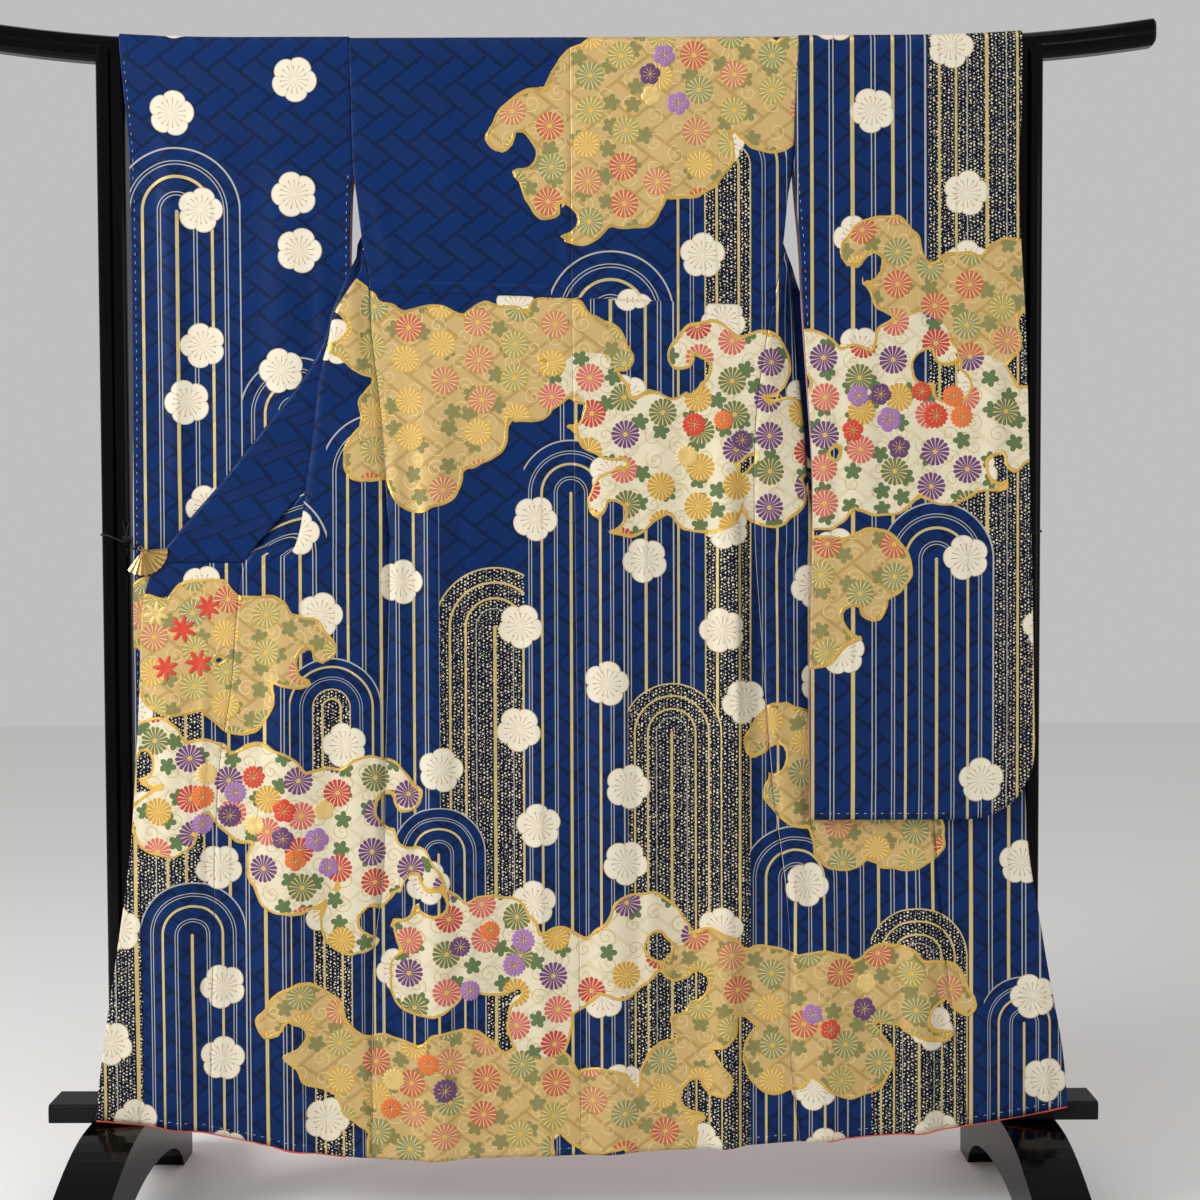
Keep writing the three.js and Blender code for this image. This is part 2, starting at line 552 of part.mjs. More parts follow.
// ---- Collar: one strip, from the end of the left front, round the back of the neck, to the right front ----
// Each row runs from the seam to the free edge. At the neck it is folded in half down its length, and the
// fold
// runs out into the front below, where the collar lies open.
function collarRow(side, sign, z) {
  const seam = along(COLUMNS[side].seam, z) + GAP / 2;
  const free = along(COLUMNS[side].free, z);
  const folded = smooth(1650, 1700, z);
  const doubled = mix(4, COLLAR_WIDTH / 2, smooth(1700, 1750, z)) * folded;
  const open = 1 - folded;
  const single = smooth(1110, 1045, z);
  const at = (x, layer) => mix(layerY(side, layer, x, z), hangLevel(side, z)(x), single);
  const inner = seam - doubled;
  const [from, to] = crossing(side, z);
  const sewn = mix(at(seam, 2), at(seam, 1), folded) + folded + 2 * LIP * folded * open;
  const points = [[seam - 4 * GAP * folded, sewn]];
  points.push([mix(seam, inner, 0.5) + 6 * open, at(seam, 2) - 0.8 * STRAND * folded]);
  points.push([inner + 12 * open, at(inner, 2) - STRAND / 2 * folded]);
  const start = inner + 1 + 23 * open;
  // Two of the points stand where the strip passes the body's side edge.
  for (const [t, place] of [[0, 0], [0.25, 0], [0.5, from], [0.75, to], [1, 0]]) {
    const even = mix(start, free, t);
    const reach = 0.24 * (free - start);
    const x = place ? clamp(even - reach, even + reach, place) : even;
    points.push([x, at(x, 2)]);
  }
  return points.map(([x, y]) => new THREE.Vector3(sign * x, y, z));
}
function collar() {
  const heights = [HANG_Z, ...ROWS.filter((z) => z > COLLAR_END), COLLAR_END];
  const left = heights.map((z) => collarRow('left', -1, z)).reverse();
  const right = heights.map((z) => collarRow('right', 1, z));
  // Round the back of the neck it hangs folded from the top of the rail, seam uppermost; at each end of the
  // neck it turns the corner.
  const outer = FAR_Y + STRAND;
  const drop = [[14.8, 1779.5], [22.8, 1775], [FAR_Y, 1727], [outer, 1726], [outer, 1738], [outer, 1749],
    [outer, 1759], [outer, 1768]];
  const neck = spread(5, -84, 84).map((x) => drop.map(([y, z]) => new THREE.Vector3(x, y, z)));
  const corner = (sign) => drop.map(([y, z], i) => {
    const inward = [0, 12, 38, 39, 30, 20, 10, 0][i];
    const fall = [5, 10, 8, 8, 8, 6, 3, 0][i];
    return new THREE.Vector3(sign * (103 - inward), Math.max(y, 22.6), z - fall);
  });
  return [...left, corner(-1), ...neck, corner(1), ...right];
}
const collarGrid = collar();
const ROOM = CLOTH + 2 * GAP;    // a wall and the gap on both its faces
const lengthened = ([first, second, ...rest]) => {
  const tip = first.clone().sub(second).setLength(0.8 * GAP).add(first);
  return [tip, first, second, ...rest];
};
const collarRoom = wall(collarGrid.map(lengthened), ROOM);
for (const side of ['left', 'right']) {
  const front = clearOf(wall(fronts[side]), [collarRoom, wall(backs[side], ROOM)]);
  add(`front_${side}`, front, SILK);
}
add('collar', wall(collarGrid), SILK);

// ---- Sleeves: each one folded length, closed below the wrist along its outer edge and along the bottom ----
const SLEEVE_ACROSS = [0, 0.14, 0.28, 0.42, 0.56, 0.68, 0.78, 0.87, 0.94, 0.985, 1];
const SLEEVE_UP = [0, 0.03, 0.09, 0.18, 0.3, 0.42, 0.54, 0.66, 0.74, 0.8, 0.84, 0.9, 1];
const WRIST_STEP = SLEEVE_UP.indexOf(0.8);
function sleeve(side, sign) {
  const { sleeveIn, sleeveOut } = EDGES[side];
  const bottomAt = (t) => {
    const q = Math.max(0, (t - 0.66) / 0.34);
    return SLEEVE_BOTTOM + SLEEVE_CORNER * (1 - (1 - q ** 2.4) ** (1 / 2.4));
  };
  const seamAt = (z) => (z >= ARMHOLE ? along(EDGES[side].side, z) : along(sleeveIn, z));
  const xAt = (z, t) => mix(seamAt(z) + GAP, along(sleeveOut, z), t);
  // The far wall clears the post's inner face above the wrist opening's lower end, and joins the near wall
  // below.
  const farX = (z, t) => Math.min(xAt(z, t), mix(xAt(z, 1), 655, smooth(WRIST - 5, WRIST + 25, z)));
  const farY = (z, t) => {
    const closed = smooth(0.8, 1, t) * smooth(WRIST + 180, WRIST, z);
    return mix(sleeveFar(side, z), sleeveNear(side, z) + 6, closed);
  };
  const outer = [];
  for (const t of SLEEVE_ACROSS) {
    const ring = [];
    const low = bottomAt(t);
    const near = SLEEVE_UP.map((f) => mix(low, HANG_Z, f));
    for (const z of near) ring.push([xAt(z, t), sleeveNear(side, z) - 1, z]);
    for (const [y, z] of [[-24.8, 1770], [-21, 1778], [-11, 1781.5], [11, 1781.5], [21, 1778], [24.8,
      1770]]) {
      ring.push([Math.min(xAt(z, t), y > 0 ? 655 : 700), y, z]);
    }
    for (const z of [...near].reverse()) ring.push([farX(z, t), farY(z, t) + 1, z]);
    const middle = (sleeveNear(side, low) + farY(low, t)) / 2;
    ring.push([xAt(low, t), middle, low - 2.5]);
    const lift = (x, z) => railRise(x) * smooth(1300, 1760, z);
    outer.push(ring.map(([x, y, z]) => new THREE.Vector3(sign * x, y, z + lift(x, z))));
  }
  const n = outer[0].length;
  const inner = outer.map((ring) => ring.map((p, i) => {
    const a = ring[(i + n - 1) % n];
    const b = ring[(i + 1) % n];
    const along2 = new THREE.Vector3(0, b.y - a.y, b.z - a.z).normalize();
    return new THREE.Vector3(p.x, p.y + along2.z * CLOTH, p.z - along2.y * CLOTH);
  }));
  // The closed part of the outer edge: the inner skin stops short of the outer one.
  const last = outer.length - 1;
  const farStep = (i) => n - 2 - i;
  for (let i = 0; i <= WRIST_STEP; i++) {
    for (const k of [i, farStep(i)]) inner[last][k].x -= sign * CLOTH;
  }
  inner[last][n - 1].x -= sign * CLOTH;
  const positions = [];
  for (const skin of [outer, inner]) for (const ring of skin) for (const p of ring) positions.push(p.x,
    p.y, p.z);
  const id = (skin, station, i) => (skin * outer.length + station) * n + (i + n) % n;
  const triangles = [];
  const quad = (p, q, s, t) => triangles.push(p, q, s, p, s, t);
  for (let s = 0; s < last; s++) {
    for (let i = 0; i < n; i++) {
      quad(id(0, s, i), id(0, s, i + 1), id(0, s + 1, i + 1), id(0, s + 1, i));
      quad(id(1, s, i), id(1, s + 1, i), id(1, s + 1, i + 1), id(1, s, i + 1));
    }
  }
  for (let i = 0; i < n; i++) quad(id(0, 0, i), id(1, 0, i), id(1, 0, i + 1), id(0, 0, i + 1));
  for (let i = WRIST_STEP; i < farStep(WRIST_STEP); i++) {
    quad(id(0, last, i), id(0, last, i + 1), id(1, last, i + 1), id(1, last, i));
  }
  for (let i = 0; i < WRIST_STEP; i++) {
    quad(id(0, last, i), id(0, last, i + 1), id(0, last, farStep(i + 1)), id(0, last, farStep(i)));
    quad(id(1, last, i), id(1, last, farStep(i)), id(1, last, farStep(i + 1)), id(1, last, i + 1));
  }
  triangles.push(id(0, last, 0), id(0, last, farStep(0)), id(0, last, n - 1));
  triangles.push(id(1, last, 0), id(1, last, n - 1), id(1, last, farStep(0)));
  const w = WRIST_STEP;
  quad(id(0, last, w), id(1, last, w), id(1, last, farStep(w)), id(0, last, farStep(w)));
  return solid(positions, triangles);
}
for (const [side, sign] of [['left', -1], ['right', 1]]) {
  const neighbours = [collarRoom, wall(fronts[side], ROOM), wall(backs[side], ROOM)];
  add(`sleeve_${side}`, clearOf(sleeve(side, sign), neighbours), SILK);
}

// ---- Clips: two folding-fan leaves on a pin, one on each side of the cloth, closed by a spring ----
function fanLeaf(reach, thickness) {
  const shape = new THREE.Shape();
  const [from, to] = [CLIP.from, CLIP.to].map(THREE.MathUtils.degToRad);
  const steps = CLIP.ribs * 2;
  for (let i = 0; i <= steps; i++) {
    const angle = mix(from, to, i / steps);
    const r = reach - (i % 2 ? 0 : CLIP.scallop);
    shape[i ? 'lineTo' : 'moveTo'](r * Math.cos(angle), r * Math.sin(angle));
  }
  shape.lineTo(CLIP.inner * Math.cos(to + 0.6), CLIP.inner * Math.sin(to + 0.6));
  shape.lineTo(CLIP.inner * Math.cos((from + to) / 2 + Math.PI),
    CLIP.inner * Math.sin((from + to) / 2 + Math.PI));
  shape.lineTo(CLIP.inner * Math.cos(from - 0.6), CLIP.inner * Math.sin(from - 0.6));
  const leaf = new THREE.ExtrudeGeometry(shape, { depth: thickness, bevelEnabled: false });
  return leaf.rotateX(Math.PI / 2);
}
function clip(sign, clothY, x, z) {
  const room = CLOTH / 2 + 0.6;
  const front = fanLeaf(CLIP.reach, CLIP.leaf).translate(0, clothY - room, 0);
  const rear = fanLeaf(CLIP.reach - 8, CLIP.leaf).translate(0, clothY + room + CLIP.leaf, 0);
  const pin = new THREE.CylinderGeometry(CLIP.pin, CLIP.pin, 2 * (room + CLIP.leaf), 12).translate(0,
    clothY, 0);
  const joined = fromManifold(toManifold(front).add(toManifold(rear)).add(toManifold(pin)));
  if (sign > 0) joined.scale(-1, 1, 1);
  const positions = Array.from(joined.attributes.position.array);
  const placed = solid(positions, Array.from(joined.index.array));
  return placed.translate(x, 0, z);
}
const clipY = { left: hangLevel('left', 1000)(615), right: hangLevel('right', 1000)(615) };
const CLIP_AT = { x: 639, z: 1017 };
add('clip_left', clip(-1, clipY.left, -CLIP_AT.x, CLIP_AT.z), GOLD);
add('clip_right', clip(1, clipY.right, CLIP_AT.x, CLIP_AT.z), GOLD);

// Each elastic loop runs from its clip's pin round the post and back.
function loop(sign, y) {
  const room = LOOP_RADIUS + 1;
  const [w, d, r] = [POST.width / 2, POST.depth / 2, POST.corner];
  // Round the post: three points at each rounded corner, rising from the clip's side to the far side.
  const turned = r + room;
  const corners = [[-1, -1, 1030], [1, -1, 1040], [1, 1, 1045], [-1, 1, 1038]];
  const route = [];
  corners.forEach(([sx, sy, z], i) => {
    for (const t of [0, 0.5, 1]) {
      const angle = Math.PI * (1 + (i + t) / 2);
      route.push([POST.centre + sx * (w - r) + turned * Math.cos(angle),
        sy * (d - r) + turned * Math.sin(angle), z]);
    }
  });
  route.push([POST.centre - w - room, -4, 1031]);
  route.push([POST.centre - w - 5, y + 9, 1022]);
  route.push([CLIP_AT.x + 13, y + 1, 1018]);
  route.push([POST.centre - w - 7, y, 1024]);
  const points = route.map(([x, py, z]) => new THREE.Vector3(sign * x, py, z));
  const curve = new THREE.CatmullRomCurve3(points, true, 'centripetal');
  const section = new THREE.Shape();
  section.absarc(0, 0, LOOP_RADIUS, 0, 2 * Math.PI);
  return new THREE.ExtrudeGeometry(section, { steps: 48, extrudePath: curve, curveSegments: 3 });
}
for (const [side, sign] of [['left', -1], ['right', 1]]) {
  add(`clip_loop_${side}`, loop(sign, clipY[side]), ELASTIC);
}

export default object;
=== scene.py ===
"""A long-sleeved furisode hung over a lacquered iko stand, its fronts drawn out and clipped to the posts."""
import math
import random

import bmesh
import bpy
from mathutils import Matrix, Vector
from mathutils.bvhtree import BVHTree


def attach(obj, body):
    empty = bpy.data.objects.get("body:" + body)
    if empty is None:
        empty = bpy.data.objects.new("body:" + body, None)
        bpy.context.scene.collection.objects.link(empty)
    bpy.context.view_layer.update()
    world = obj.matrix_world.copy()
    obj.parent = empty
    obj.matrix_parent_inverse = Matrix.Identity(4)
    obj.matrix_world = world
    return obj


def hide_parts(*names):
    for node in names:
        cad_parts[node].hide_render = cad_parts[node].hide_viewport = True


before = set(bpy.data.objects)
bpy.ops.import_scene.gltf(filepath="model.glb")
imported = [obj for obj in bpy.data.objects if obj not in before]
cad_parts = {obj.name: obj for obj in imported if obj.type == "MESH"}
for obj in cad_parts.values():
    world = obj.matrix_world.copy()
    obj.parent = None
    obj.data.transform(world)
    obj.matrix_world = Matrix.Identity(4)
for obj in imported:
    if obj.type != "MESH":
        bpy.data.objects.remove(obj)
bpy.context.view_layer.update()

MM = 0.001
CLOTH = 1.1                      # thickness of the lined silk, mm
HEM, LEAN = 100, 18.5
HANG_Y, FAR_Y, HANG_Z = -25.5, 25, 1755
FRONT_WIDTH = 226
COLLAR_END, ARMHOLE, SIDE_TOP = 998, 1588, 1430
STRAND, LIP = 5, 3
SLEEVE_HOLLOW, SLEEVE_BOTTOM, SLEEVE_CORNER, WRIST = 12, 611, 120, 1550
TUCK = {"z": 1391, "slope": -0.041, "height": 14, "lift": 2, "hides": 34}

# Distance from the centre line at each height: the body's side edge, and a sleeve's two edges.
EDGES = {
    "left": {
        "side": [
            (1785, 328), (1687, 325), (1588, 323), (1539, 317), (1472, 309), (1428, 301), (1340, 297),
            (1225, 284), (1092, 275), (1023, 271), (678, 280), (524, 285), (407, 299), (300, 302),
            (100, 304)],
        "sleeve_in": [
            (1785, 328), (1687, 325), (1588, 323), (1540, 326), (1430, 328), (1300, 330), (1100, 334),
            (600, 336)],
        "sleeve_out": [
            (1810, 671), (1731, 666), (1690, 662), (1646, 658), (1600, 655), (1245, 654), (1065, 656),
            (600, 658)],
    },
    "right": {
        "side": [
            (1785, 342), (1687, 337), (1588, 333), (1539, 325), (1479, 319), (1428, 312), (1325, 292),
            (1211, 277), (1050, 275), (908, 283), (647, 303), (541, 317), (437, 326), (245, 328), (100, 342)],
        "sleeve_in": [
            (1785, 342), (1687, 337), (1588, 333), (1459, 342), (1382, 345), (1252, 353), (1124, 360),
            (997, 359), (789, 355), (600, 356)],
        "sleeve_out": [
            (1810, 674), (1668, 672), (1575, 667), (1482, 670), (1332, 678), (1184, 682), (995, 687),
            (731, 692)],
    },
}
# Each opened front turns twice. Height, then where its outer fold, its seam and its free edge are.
FRONTS = {
    "left": [
        (1790, 322, 105, 105), (1740, 320, 108, 122), (1700, 319, 118, 200), (1650, 318, 131, 240),
        (1560, 313, 157, 268), (1480, 303, 180, 317), (1452, 312, 189, 321), (1425, 316, 198, 333),
        (1371, 350, 213, 356), (1326, 360, 230, 369), (1271, 375, 262, 400), (1198, 383, 316, 458),
        (1115, 395, 390, 525), (1051, 403, 446, 580), (998, 420, 488, 621), (930, 440, 499, 641),
        (816, 440, 509, 646), (700, 450, 527, 653), (564, 455, 536, 663), (435, 460, 538, 679),
        (317, 460, 543, 695), (202, 465, 546, 710), (100, 465, 548, 721)],
    "right": [
        (1790, 336, 105, 105), (1740, 334, 108, 122), (1700, 332, 118, 200), (1650, 330, 131, 240),
        (1560, 322, 157, 268), (1480, 313, 180, 317), (1452, 323, 189, 327), (1425, 328, 198, 338),
        (1371, 334, 213, 356), (1326, 338, 230, 369), (1271, 343, 262, 400), (1198, 350, 316, 458),
        (1115, 356, 390, 525), (1051, 370, 446, 580), (998, 400, 496, 621), (930, 430, 512, 650),
        (816, 450, 526, 665), (700, 455, 537, 679), (564, 460, 547, 687), (435, 465, 557, 704),
        (317, 470, 569, 720), (202, 475, 583, 737), (100, 480, 595, 746)],
}
HEMLINE = [(-721, 157), (-636, 149), (-568, 141), (-527, 133), (-426, 113), (-334, 100), (-233, 95),
           (-125, 98), (11, 102), (118, 108), (194, 111), (340, 122), (440, 130), (536, 138), (667, 158),
           (746, 174)]
CENTRE = [(1785, 1), (1388, 3), (940, 7), (338, 11), (100, 11)]

# A ridge stands out further than its row says, because the silk is full there.
RIDGE = 1.6
# Folds and creases: x at the top and at the bottom, how far it stands out, half width, top, bottom.
BACK_FOLDS = [
    (-205, -205, 7, 46, 1330, 40), (-95, -95, -5, 44, 1180, 320), (62, 62, 6, 50, 1250, 40),
    (168, 168, -6, 40, 1330, 320), (232, 232, 9, 32, 1300, 60), (268, 268, -8, 24, 1120, 560),
    (246, 262, 3.5, 12, 1150, 420), (283, 276, 3, 9, 1060, 600), (205, 221, -3, 11, 1210, 480),
    (-262, -250, 3, 15, 1290, 250), (-232, -226, -2.4, 12, 1240, 330), (-150, -158, 2.4, 18, 1120, 160),
    (-60, -40, 2.2, 20, 1020, 60), (25, 22, -2, 14, 1310, 130), (110, 118, 2.6, 17, 1200, 90),
    (-12, -2, 1.6, 12, 1700, 1400), (-220, -140, 1.4, 34, 1730, 1430), (180, 120, 1.6, 38, 1740, 1440),
    (240, 258, 5.5, 10, 1130, 430), (264, 274, 4.5, 8, 1100, 560), (300, 250, 1.8, 20, 1640, 1410),
    (-300, -262, 1.6, 18, 1600, 1420), (90, 60, -1.2, 26, 1700, 1450),
]
FRONT_FOLDS = [
    (-352, -352, -4, 34, 960, 320), (-425, -425, 8, 40, 980, 40), (-505, -505, -4, 36, 900, 320),
    (-600, -600, 6, 44, 930, 40), (380, 380, 7, 40, 640, 40), (450, 450, -3, 38, 640, 320),
    (524, 524, 7, 36, 620, 40), (655, 655, -3, 42, 560, 320),
    (-322, -335, 2.6, 13, 1180, 300), (-372, -395, 2.4, 13, 1120, 180), (-452, -470, 2.5, 14, 830, 90),
    (-560, -600, 2.2, 16, 860, 120), (-628, -672, 2, 12, 800, 130), (-480, -515, -2, 15, 760, 200),
    (330, 352, 3, 14, 900, 120), (410, 425, 2.4, 14, 660, 100), (600, 622, 2.4, 18, 640, 120),
    (296, 298, 4, 8, 1000, 560), (316, 318, 4.5, 9, 990, 480), (340, 334, 3.5, 9, 980, 420),
    (-300, -306, 3, 9, 1020, 520), (-545, -570, 3, 12, 940, 300), (690, 716, 2, 14, 560, 100),
    (488, 500, -2, 13, 560, 140),
]
SLEEVE_FOLDS = [
    (-430, -420, 2.4, 44, 1700, 900), (-540, -575, -2.2, 40, 1500, 700), (-600, -585, 2.4, 26, 1720, 1100),
    (-372, -362, 1.6, 22, 1560, 1130), (420, 440, 2.2, 42, 1640, 640), (560, 540, -2.2, 44, 1740, 900),
    (628, 640, 2.6, 24, 1500, 700), (480, 520, 1.8, 26, 1100, 560), (385, 378, 1.8, 14, 1480, 700),
]


def smooth(start, end, x):
    t = min(1, max(0, (x - start) / (end - start)))
    return t * t * (3 - 2 * t)


def mix(a, b, t):
    return a + (b - a) * t


def clamp(low, high, x):
    return min(high, max(low, x))


def along(rows, key):
    """A smooth curve through a table of (key, value) rows, in either order of keys."""
    last = len(rows) - 1
    rising = rows[last][0] > rows[0][0]
    i = 0
    while i < last - 1 and (key > rows[i + 1][0] if rising else key < rows[i + 1][0]):
        i += 1
    (k0, v0), (k1, v1) = rows[i], rows[i + 1]
    t = clamp(0, 1, (key - k0) / (k1 - k0))

    def slope(j):
        a, b = rows[max(0, j - 1)], rows[min(last, j + 1)]
        return (b[1] - a[1]) / (b[0] - a[0]) * (k1 - k0)

    t2, t3 = t * t, t * t * t
    return ((2 * t3 - 3 * t2 + 1) * v0 + (t3 - 2 * t2 + t) * slope(i)
            + (3 * t2 - 2 * t3) * v1 + (t3 - t2) * slope(i + 1))


COLUMNS = {side: {name: [(row[0], row[k]) for row in rows]
                  for k, name in ((1, "fold"), (2, "seam"), (3, "free"))}
           for side, rows in FRONTS.items()}
SIGN = {"left": -1, "right": 1}


def back_y(z):
    return HANG_Y - LEAN * (HANG_Z - z) / (HANG_Z - HEM)


SLEEVE_NEAR = {"left": [(1755, -25.5), (1300, -26.5), (1000, -30), (600, -34.5)],
               "right": [(1755, -25.5), (1450, -37), (1050, -45), (700, -50), (600, -50)]}
SLEEVE_FAR = {"left": [(1755, 25), (1560, 4), (1300, -14.5), (1000, -18), (600, -22.5)],
              "right": [(1755, 25), (1560, 3), (1300, -19), (1100, -31), (700, -38), (600, -38)]}


def sleeve_near(side, z):
    return along(SLEEVE_NEAR[side], z)


def sleeve_far(side, z):
    return max(along(SLEEVE_FAR[side], z), sleeve_near(side, z) + SLEEVE_HOLLOW)


def fold_lift(folds, x, z):
    lift = 0
    for x_top, x_bottom, out, half, top, bottom in folds:
        if not bottom - 60 < z < top:
            continue
        middle = mix(x_bottom, x_top, clamp(0, 1, (z - bottom) / (top - bottom)))
        across = max(0, 1 - ((x - middle) / half) ** 2)
        down = smooth(top, top - min(260, (top - bottom) / 2), z) * smooth(bottom - 60, bottom + 60, z)
        lift += out * across * across * down
    return lift * RIDGE if lift > 0 else lift


def drop_to(x, z):
    return z + (along(HEMLINE, x) - HEM) * smooth(620, HEM, z)


def far_share(z):
    return smooth(SIDE_TOP, ARMHOLE - 20, z)


def crossing(side, z):
    body = along(EDGES[side]["side"], z)
    mouth = along(EDGES[side]["sleeve_in"], z)
    start = body + mix(6, 14, smooth(1400, 1440, z))
    return start, (start + 16 if side == "left" else max(start + 16, mouth - 4))


def layer_y(side, layer, x, z):
    """Depth of a front's layer: 0 out to the outer fold, 1 back to the hidden turn, 2 out again."""
    hang = back_y(z)
    start, end = crossing(side, z)
    outside = smooth(start - 3, end + 3, x)
    behind = hang + layer * STRAND + min(layer, 1) * STRAND * smooth(SIDE_TOP - 5, SIDE_TOP + 25, z)
    before = hang - 9 if side == "left" else sleeve_far("right", z) + STRAND
    low = mix(behind, before + 4 * layer, outside)
    high = mix(3 + STRAND * layer, FAR_Y + STRAND * max(0, layer - 1), smooth(1480, 1700, z))
    return mix(low, high, far_share(z) * (1 - outside if layer == 2 and side == "left" else 1))


HANG_UNDER = [(1755, -20), (1100, -25), (850, -28.5), (600, -32), (400, -38), (200, -43), (100, -45)]


def hang_level(side, z, x):
    body = along(EDGES[side]["side"], z)
    own = back_y(z) - 6 * smooth(160, 500, z) if side == "left" else along(HANG_UNDER, z)
    return mix(back_y(z), own, smooth(body, body + 40, x))


def front_row(side, z):
    """One row of a front in plan: x and y of each point, from the side seam to the okumi or collar."""
    edge = along(EDGES[side]["side"], z) + 0.3 * mix(1, -1, far_share(z))
    fold = max(edge - 2 * LIP, along(COLUMNS[side]["fold"], z))
    seam = along(COLUMNS[side]["seam"], z) - 0.15
    flat = mix(2 * fold - seam - edge, seam - edge, smooth(1500, 1400, z))
    width = mix(FRONT_WIDTH, flat, max(smooth(1640, 1700, z), smooth(1000, 940, z)))
    back = max(0, (width - (seam - edge)) / 2)
    doubled = smooth(2, 16, back)
    outward = smooth(0, 9, fold - edge) * doubled
    hidden = mix(mix(fold, seam, 0.35), fold - back, smooth(0, 14, back))
    returned = smooth(2, 14, seam - hidden) * doubled
    turn = hidden + 3 * LIP * (1 - returned) * far_share(z)
    side_y = mix(back_y(z) + STRAND * smooth(SIDE_TOP, SIDE_TOP + 25, z),
                 mix(3, FAR_Y, smooth(1480, 1700, z)), far_share(z))

    def at(x, layer):
        return mix(hang_level(side, z, x), layer_y(side, layer, x, z), doubled)

    def eased(x, y):
        return mix(side_y, y, smooth(4, 28, abs(x - edge)))

    def inner(x):
        return mix(eased(x, at(x, 1)), at(x, 1), outward)

    def outer(x):
        return mix(eased(x, at(x, 1)), at(x, 0), outward)

    before = mix(fold - LIP, fold + mix(LIP, -LIP, outward), doubled)
    after = fold + mix(LIP, -LIP, doubled)
    ahead = turn + mix(-LIP, LIP, doubled)
    past = mix(turn + LIP, turn + mix(-LIP, LIP, returned), doubled)
    points = [(mix(edge, before, t), outer(mix(edge, before, t)) if t else side_y) for t in spread(11)]
    points.append((fold, mix(inner(fold), mix(outer(fold), inner(fold), 0.5), outward)))
    points += [(mix(after, ahead, t), inner(mix(after, ahead, t))) for t in spread(14)]
    points.append((turn, mix(inner(turn), at(turn, 2), 0.5 * returned)))
    for t in spread(9):
        x = mix(past, seam, t)
        points.append((x, mix(inner(x), at(x, 2), returned)))
    return points


def spread(count, start=0, end=1):
    return [mix(start, end, i / (count - 1)) for i in range(count)]


# ---- Sheets of cloth ----
# Clouds of foil: rounded lobes as x, height, radius on the opened cloth.
GOLD_CLOUDS = [
    (0.07, 1.775, 0.05), (0.16, 1.78, 0.06), (0.26, 1.775, 0.055), (0.33, 1.76, 0.05),
    (0.03, 1.735, 0.06), (0.11, 1.72, 0.075), (0.21, 1.735, 0.07), (0.30, 1.70, 0.06),
    (0.17, 1.64, 0.07),
    (0.06, 1.65, 0.055), (-0.02, 1.60, 0.05), (0.09, 1.575, 0.05), (-0.29, 1.33, 0.055), (-0.21, 1.30, 0.08),
    (-0.11, 1.32, 0.065), (-0.02, 1.345, 0.05), (-0.25, 1.22, 0.065), (-0.16, 1.21, 0.07),
    (-0.07, 1.255, 0.05),
    (-0.22, 1.13, 0.055), (-0.30, 1.16, 0.04), (-0.63, 0.90, 0.05), (-0.55, 0.915, 0.06), (-0.47, 0.89, 0.06),
    (-0.59, 0.83, 0.06), (-0.50, 0.80, 0.055), (0.35, 0.66, 0.06), (0.43, 0.69, 0.07), (0.53, 0.67, 0.06),
    (0.50, 0.59, 0.06), (0.41, 0.58, 0.05), (0.29, 0.36, 0.06), (0.38, 0.33, 0.08), (0.48, 0.36, 0.06),
    (0.20, 0.31, 0.05), (0.42, 0.25, 0.06), (0.31, 0.25, 0.055), (-0.36, 0.25, 0.055), (-0.28, 0.21, 0.075),
    (-0.17, 0.22, 0.075), (-0.06, 0.20, 0.07), (0.04, 0.17, 0.065), (0.13, 0.14, 0.055), (-0.24, 0.12, 0.07),
    (-0.11, 0.12, 0.08), (1.66, 1.42, 0.055), (1.58, 1.39, 0.065), (1.49, 1.41, 0.05), (1.62, 1.33, 0.05),
    (1.37, 0.97, 0.065), (1.45, 0.99, 0.055), (1.36, 0.89, 0.05), (-1.62, 0.92, 0.06), (-1.53, 0.90, 0.055),
    (-1.60, 0.83, 0.05),
]
CREAM_CLOUDS = [
    (0.06, 1.20, 0.05), (0.14, 1.185, 0.07), (0.235, 1.21, 0.065), (0.33, 1.18, 0.06), (0.20, 1.10, 0.06),
    (0.11, 1.10, 0.045), (0.28, 1.29, 0.05), (0.30, 1.10, 0.05), (-0.56, 0.68, 0.055), (-0.47, 0.65, 0.075),
    (-0.37, 0.62, 0.07), (-0.42, 0.54, 0.07), (-0.30, 0.55, 0.06), (-0.61, 0.61, 0.05), (-0.33, 0.46, 0.05),
    (-0.21, 0.45, 0.06), (-0.12, 0.42, 0.075), (-0.02, 0.38, 0.065), (0.07, 0.40, 0.055),
    (-0.22, 0.37, 0.055),
    (-0.05, 0.30, 0.05), (1.34, 1.20, 0.06), (1.42, 1.24, 0.075), (1.52, 1.21, 0.07), (1.61, 1.24, 0.06),
    (1.67, 1.20, 0.055), (1.46, 1.13, 0.065), (1.37, 1.10, 0.055), (1.56, 1.13, 0.05),
]
